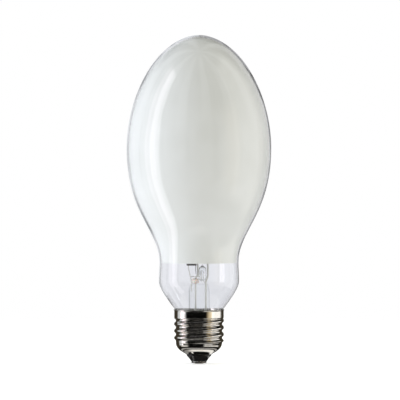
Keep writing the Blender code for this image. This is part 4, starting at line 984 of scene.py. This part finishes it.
def set_camera():
    """Level camera in front of the lamp, at the photograph's scale."""
    data = bpy.data.cameras.new("camera")
    data.sensor_width = SENSOR
    data.lens = SENSOR * CAMERA_DISTANCE / FRAME_WIDTH
    camera = new_object("camera", data)
    camera.location = (CAMERA_X, -CAMERA_DISTANCE, CAMERA_Z)
    camera.rotation_euler = (math.radians(90.0), 0.0, 0.0)
    bpy.context.scene.camera = camera


def softbox(name, azimuth, height, power, colour):
    """Area light that faces the lamp. Azimuth is from the camera's side, positive to the right."""
    data = bpy.data.lights.new(name, "AREA")
    data.shape = "RECTANGLE"
    data.size, data.size_y = SOFTBOX_SIZE
    data.energy = power
    data.color = colour
    light = new_object(name, data)
    angle = math.radians(azimuth)
    light.location = (SOFTBOX_DISTANCE * math.sin(angle), -SOFTBOX_DISTANCE * math.cos(angle), height)
    aim = Vector((0.0, 0.0, CAMERA_Z)) - light.location
    light.rotation_euler = aim.to_track_quat("-Z", "Y").to_euler()
    hide(light, "camera", "glossy", "transmission")


def studio_card(azimuth, elevation, sides, ends, soft, colour, strength):
    """Return the light of one bright card, which lies between two azimuths and two elevations."""
    across = window(azimuth, *sides, soft)
    upright = window(elevation, *ends, soft)
    return scaled(colour, maths("MULTIPLY", maths("MULTIPLY", across, upright), strength))


def plus(first, second):
    """Add up two colours."""
    return add(first.id_data, "VectorMath", {0: first, 1: second}, operation="ADD").outputs[0]


def through_glass(azimuth, elevation):
    """Return how light clear glass is: darker at one side of every fold, and high up at the other."""
    folded = maths("WRAP", azimuth, FOLD / 2.0, -FOLD / 2.0)
    deepest = maths("MAXIMUM", ramp(elevation, *DARK_SIDE_LOW_DOWN),
                    ramp(elevation, *DARK_SIDE_HIGH_UP))
    dark_side = ramp(ramp(folded, *DARK_SIDE), 0.0, 1.0, deepest, 1.0)
    upward = maths("ADD", *[ramp(elevation, *part) for part in OTHER_SIDE_DARKENING])
    other_side = maths("MULTIPLY", upward, ramp(folded, *OTHER_SIDE))
    return maths("MULTIPLY", dark_side, maths("MULTIPLY_ADD", other_side, -1.0, 1.0))


def set_world():
    """Studio round the lamp: even light, a white background, and what shiny and clear surfaces show."""
    world = bpy.data.worlds.new("studio")
    bpy.context.scene.world = world
    world.use_nodes = True
    tree = world.node_tree
    direction = add(tree, "TexCoord").outputs["Generated"]
    axes = add(tree, "SeparateXYZ", {0: direction}).outputs
    azimuth = azimuth_of(axes)
    elevation = maths("DEGREES", maths("ARCSINE", axes["Z"]))
    shine = studio_card(azimuth, elevation, *SHINE_CARDS[0])
    for card in SHINE_CARDS[1:]:
        shine = plus(shine, studio_card(azimuth, elevation, *card))
    through = plus(scaled(GLASS_WHITE, through_glass(azimuth, elevation)),
                   studio_card(azimuth, elevation, *STRIP_CARD))
    even = scaled(AMBIENT_TINT, ramp(elevation, *AMBIENT_BY_ELEVATION))
    path = add(tree, "LightPath").outputs
    colour = blend_colours(path["Is Glossy Ray"], even, shine)
    colour = blend_colours(path["Is Transmission Ray"], colour, through)
    colour = blend_colours(path["Is Camera Ray"], colour, WHITE)
    tree.links.new(colour, tree.nodes["Background"].inputs["Color"])


def curved_card(name, material, low, high, sides, steps):
    """Stage card between two (radius, height) edges and two azimuths, which only shiny surfaces see."""
    bm = bmesh.new()
    rows = []
    for radius, height in (low, high):
        angles = [math.radians(sides[0] + (sides[1] - sides[0]) * share) for share in shares(steps)]
        rows.append([bm.verts.new((radius * math.sin(a), -radius * math.cos(a), height)) for a in angles])
    join_rings(bm, rows, close=False)
    card = finish_mesh(name, bm, material)
    hide(card, "camera", "diffuse", "transmission", "shadow")


def build_flags():
    """Two dark cards beside and behind the cap, which darken its sides as in the photograph."""
    material, tree = new_material("dark_card")[:2]
    surface(add(tree, "Emission", {"Color": (*FLAG_COLOUR, 1.0), "Strength": FLAG_LIGHT}))
    low, high = [(FLAG_RADIUS, height) for height in FLAG_HEIGHTS]
    for name, sides in FLAG_SIDES.items():
        curved_card(name, material, low, high, sides, 16)


def build_lids():
    """Two cards above the cap's sides, dark from below only. They keep high light off the thread."""
    material, tree = new_material("black_card")[:2]
    normal = add(tree, "NewGeometry").outputs["True Normal"]
    height = add(tree, "SeparateXYZ", {0: normal}).outputs["Z"]
    black = add(tree, "Emission", {"Strength": 0.0})
    clear = add(tree, "BsdfTransparent")
    surface(add(tree, "MixShader", {
        0: maths("LESS_THAN", height, 0.0), 1: clear.outputs[0], 2: black.outputs[0]}))
    for name, (outer, sides) in LIDS.items():
        curved_card(name, material, (LID_INNER, LID_Z), (outer, LID_Z), sides, 12)


def floor_rings(azimuth, distance):
    """Return the light that shiny surfaces see on the floor. The distance is in mm."""
    light = maths("ADD", ramp(distance, *FLOOR_SPOT), FLOOR_DARK_LIGHT)
    for radii, soft, strength, sides, side_soft in FLOOR_RINGS:
        ring = maths("MULTIPLY", window(distance, *radii, soft),
                     window(azimuth, *sides, side_soft))
        light = maths("ADD", light, maths("MULTIPLY", ring, strength))
    return light


def dark_floor_end(azimuth):
    """Return how far from the lamp shiny surfaces see the floor dark, in mm."""
    on_left = window(azimuth, *FLOOR_LEFT_SIDES)
    on_right = window(azimuth, *FLOOR_RIGHT_SIDES)
    return maths("ADD", ramp(on_left, 0.0, 1.0, FLOOR_DARK_END, FLOOR_DARK_END_LEFT),
                 maths("MULTIPLY", on_right, FLOOR_DARK_END_RIGHT - FLOOR_DARK_END))


def build_floor():
    """Plain pale floor that fades into the white background. Shiny surfaces see it dark with lit rings."""
    bm = bmesh.new()
    bmesh.ops.create_circle(bm, cap_ends=True, segments=96, radius=FLOOR_RADIUS)
    material, tree, shader = new_material("pale_floor")
    connect(shader, Base_Color=(0.86, 0.86, 0.86, 1.0), Roughness=0.9)
    floor = finish_mesh("floor", bm, material)
    spot = add(tree, "TexCoord").outputs["Object"]
    length = add(tree, "VectorMath", {0: spot}, operation="LENGTH").outputs["Value"]
    distance = maths("DIVIDE", length, MM)
    azimuth = azimuth_of(add(tree, "SeparateXYZ", {0: spot}).outputs)
    path = add(tree, "LightPath").outputs
    strength = maths("ADD", maths("MULTIPLY", path["Is Camera Ray"], FLOOR_LIFT),
                     maths("MULTIPLY", path["Is Diffuse Ray"], FLOOR_BOUNCE))
    glow = add(tree, "Emission", {"Color": (*WHITE, 1.0), "Strength": strength})
    lit = add(tree, "AddShader", {0: shader.outputs[0], 1: glow.outputs[0]})
    mirrored = add(tree, "Emission", {
        "Color": (*WARM_WHITE, 1.0), "Strength": floor_rings(azimuth, distance)})
    seen = add(tree, "MixShader", {
        0: path["Is Glossy Ray"], 1: lit.outputs[0], 2: mirrored.outputs[0]})
    beyond = maths("SUBTRACT", distance, dark_floor_end(azimuth))
    open_to_shine = maths("MULTIPLY", ramp(beyond, -FLOOR_DARK_SOFT, 0.0), path["Is Glossy Ray"])
    fade = maths("MAXIMUM", ramp(distance, *FLOOR_FADE), open_to_shine)
    clear = add(tree, "BsdfTransparent")
    surface(add(tree, "MixShader", {0: fade, 1: seen.outputs[0], 2: clear.outputs[0]}))
    floor.location.z = -0.02 * MM
    hide(floor, "transmission")


def dress_carried_pieces(glass, wire_metal, bimetal):
    """Finish the pieces that keep the frame's own shapes, most of them hidden by the coating."""
    cement = ceramic_material("buff_cement", (0.5, 0.46, 0.39), (0.66, 0.62, 0.54), 0.5 * MM,
                              (0.85, 1.0), 0.2 * MM)
    alumina = ceramic_material("white_alumina", (0.86, 0.85, 0.81), (0.93, 0.925, 0.9), 0.4 * MM,
                               (0.3, 0.5), 0.02 * MM, 0.5)
    niobium = metal_material("satin_niobium", (0.45, 0.45, 0.47), (0.6, 0.6, 0.62), 0.4 * MM,
                             (0.2, 0.2, 3.0), (0.3, 0.45), 0.01 * MM)
    tungsten = metal_material("grey_tungsten", (0.2, 0.2, 0.21), (0.36, 0.36, 0.37), 0.3 * MM,
                              (1.0, 1.0, 0.3), (0.35, 0.5), 0.01 * MM)
    amalgam = metal_material("bright_amalgam", (0.66, 0.67, 0.69), (0.8, 0.81, 0.83), 0.3 * MM,
                             (1.0, 1.0, 1.0), (0.12, 0.25), 0.02 * MM)
    carried = (
        (cement, "capping_cement"),
        (glass, "pump_tube"),
        (wire_metal, "contact_lead", "shell_lead", "getter_arm", "lower_strap", "upper_strap", "top_spring"),
        (bimetal, "getter_ring"),
        (alumina, "arc_tube", "lower_end_plug", "upper_end_plug"),
        (niobium, "lower_feedthrough", "upper_feedthrough"),
        (tungsten, "lower_electrode", "upper_electrode", "ignition_coil"),
        (amalgam, "amalgam_pellet"))
    for material, *nodes in carried:
        for node in nodes:
            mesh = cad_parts[node].data
            mesh.materials.clear()
            mesh.materials.append(material)


def main():
    """Dress the lamp from its bulb to its contact, then set the studio."""
    clear_glass = glass_material("clear_blown_glass", (0.975, 0.98, 0.99), 26.0 * MM, 0.25 * MM)
    stem_glass = glass_material("drawn_glass", (0.96, 0.97, 0.975), 5.0 * MM, 0.08 * MM, (1.0, 1.0, 0.25))
    nickel = nickel_material()
    solder = solder_material()
    wire_metal = metal_material("drawn_nickel_wire", (0.74, 0.73, 0.7), (0.93, 0.92, 0.89), 0.5 * MM,
                                (1.0, 1.0, 0.1), (0.25, 0.42), 0.01 * MM, 0.25)
    bimetal = metal_material("dark_bimetal", (0.1, 0.095, 0.09), (0.2, 0.19, 0.175), 0.6 * MM,
                             (0.2, 1.0, 1.0), (0.28, 0.45), 0.015 * MM)
    steatite = ceramic_material("pink_steatite", (0.93, 0.76, 0.7), (0.97, 0.85, 0.8), 0.3 * MM,
                                (0.45, 0.65), 0.03 * MM, 0.2)
    build_bulb(clear_glass)
    build_coating(coating_material())
    build_shell(nickel)
    build_insulator(black_glass_material())
    build_contact(nickel)
    build_contact_solder(solder)
    build_rim_solder(solder)
    build_stem(stem_glass)
    build_rods(wire_metal)
    build_switch(bimetal)
    build_bead(steatite)
    build_starter_bulb(stem_glass)
    build_starter_leads(wire_metal)
    build_starter_contact(bimetal)
    dress_carried_pieces(stem_glass, wire_metal, bimetal)
    set_camera()
    softbox("left_softbox", -82.0, 0.27, 6.4, (0.80, 0.86, 0.98))
    softbox("right_softbox", 74.0, 0.34, 2.0, (1.0, 1.0, 0.96))
    build_flags()
    build_lids()
    set_world()
    build_floor()
    bpy.context.scene.view_settings.view_transform = "Standard"


main()
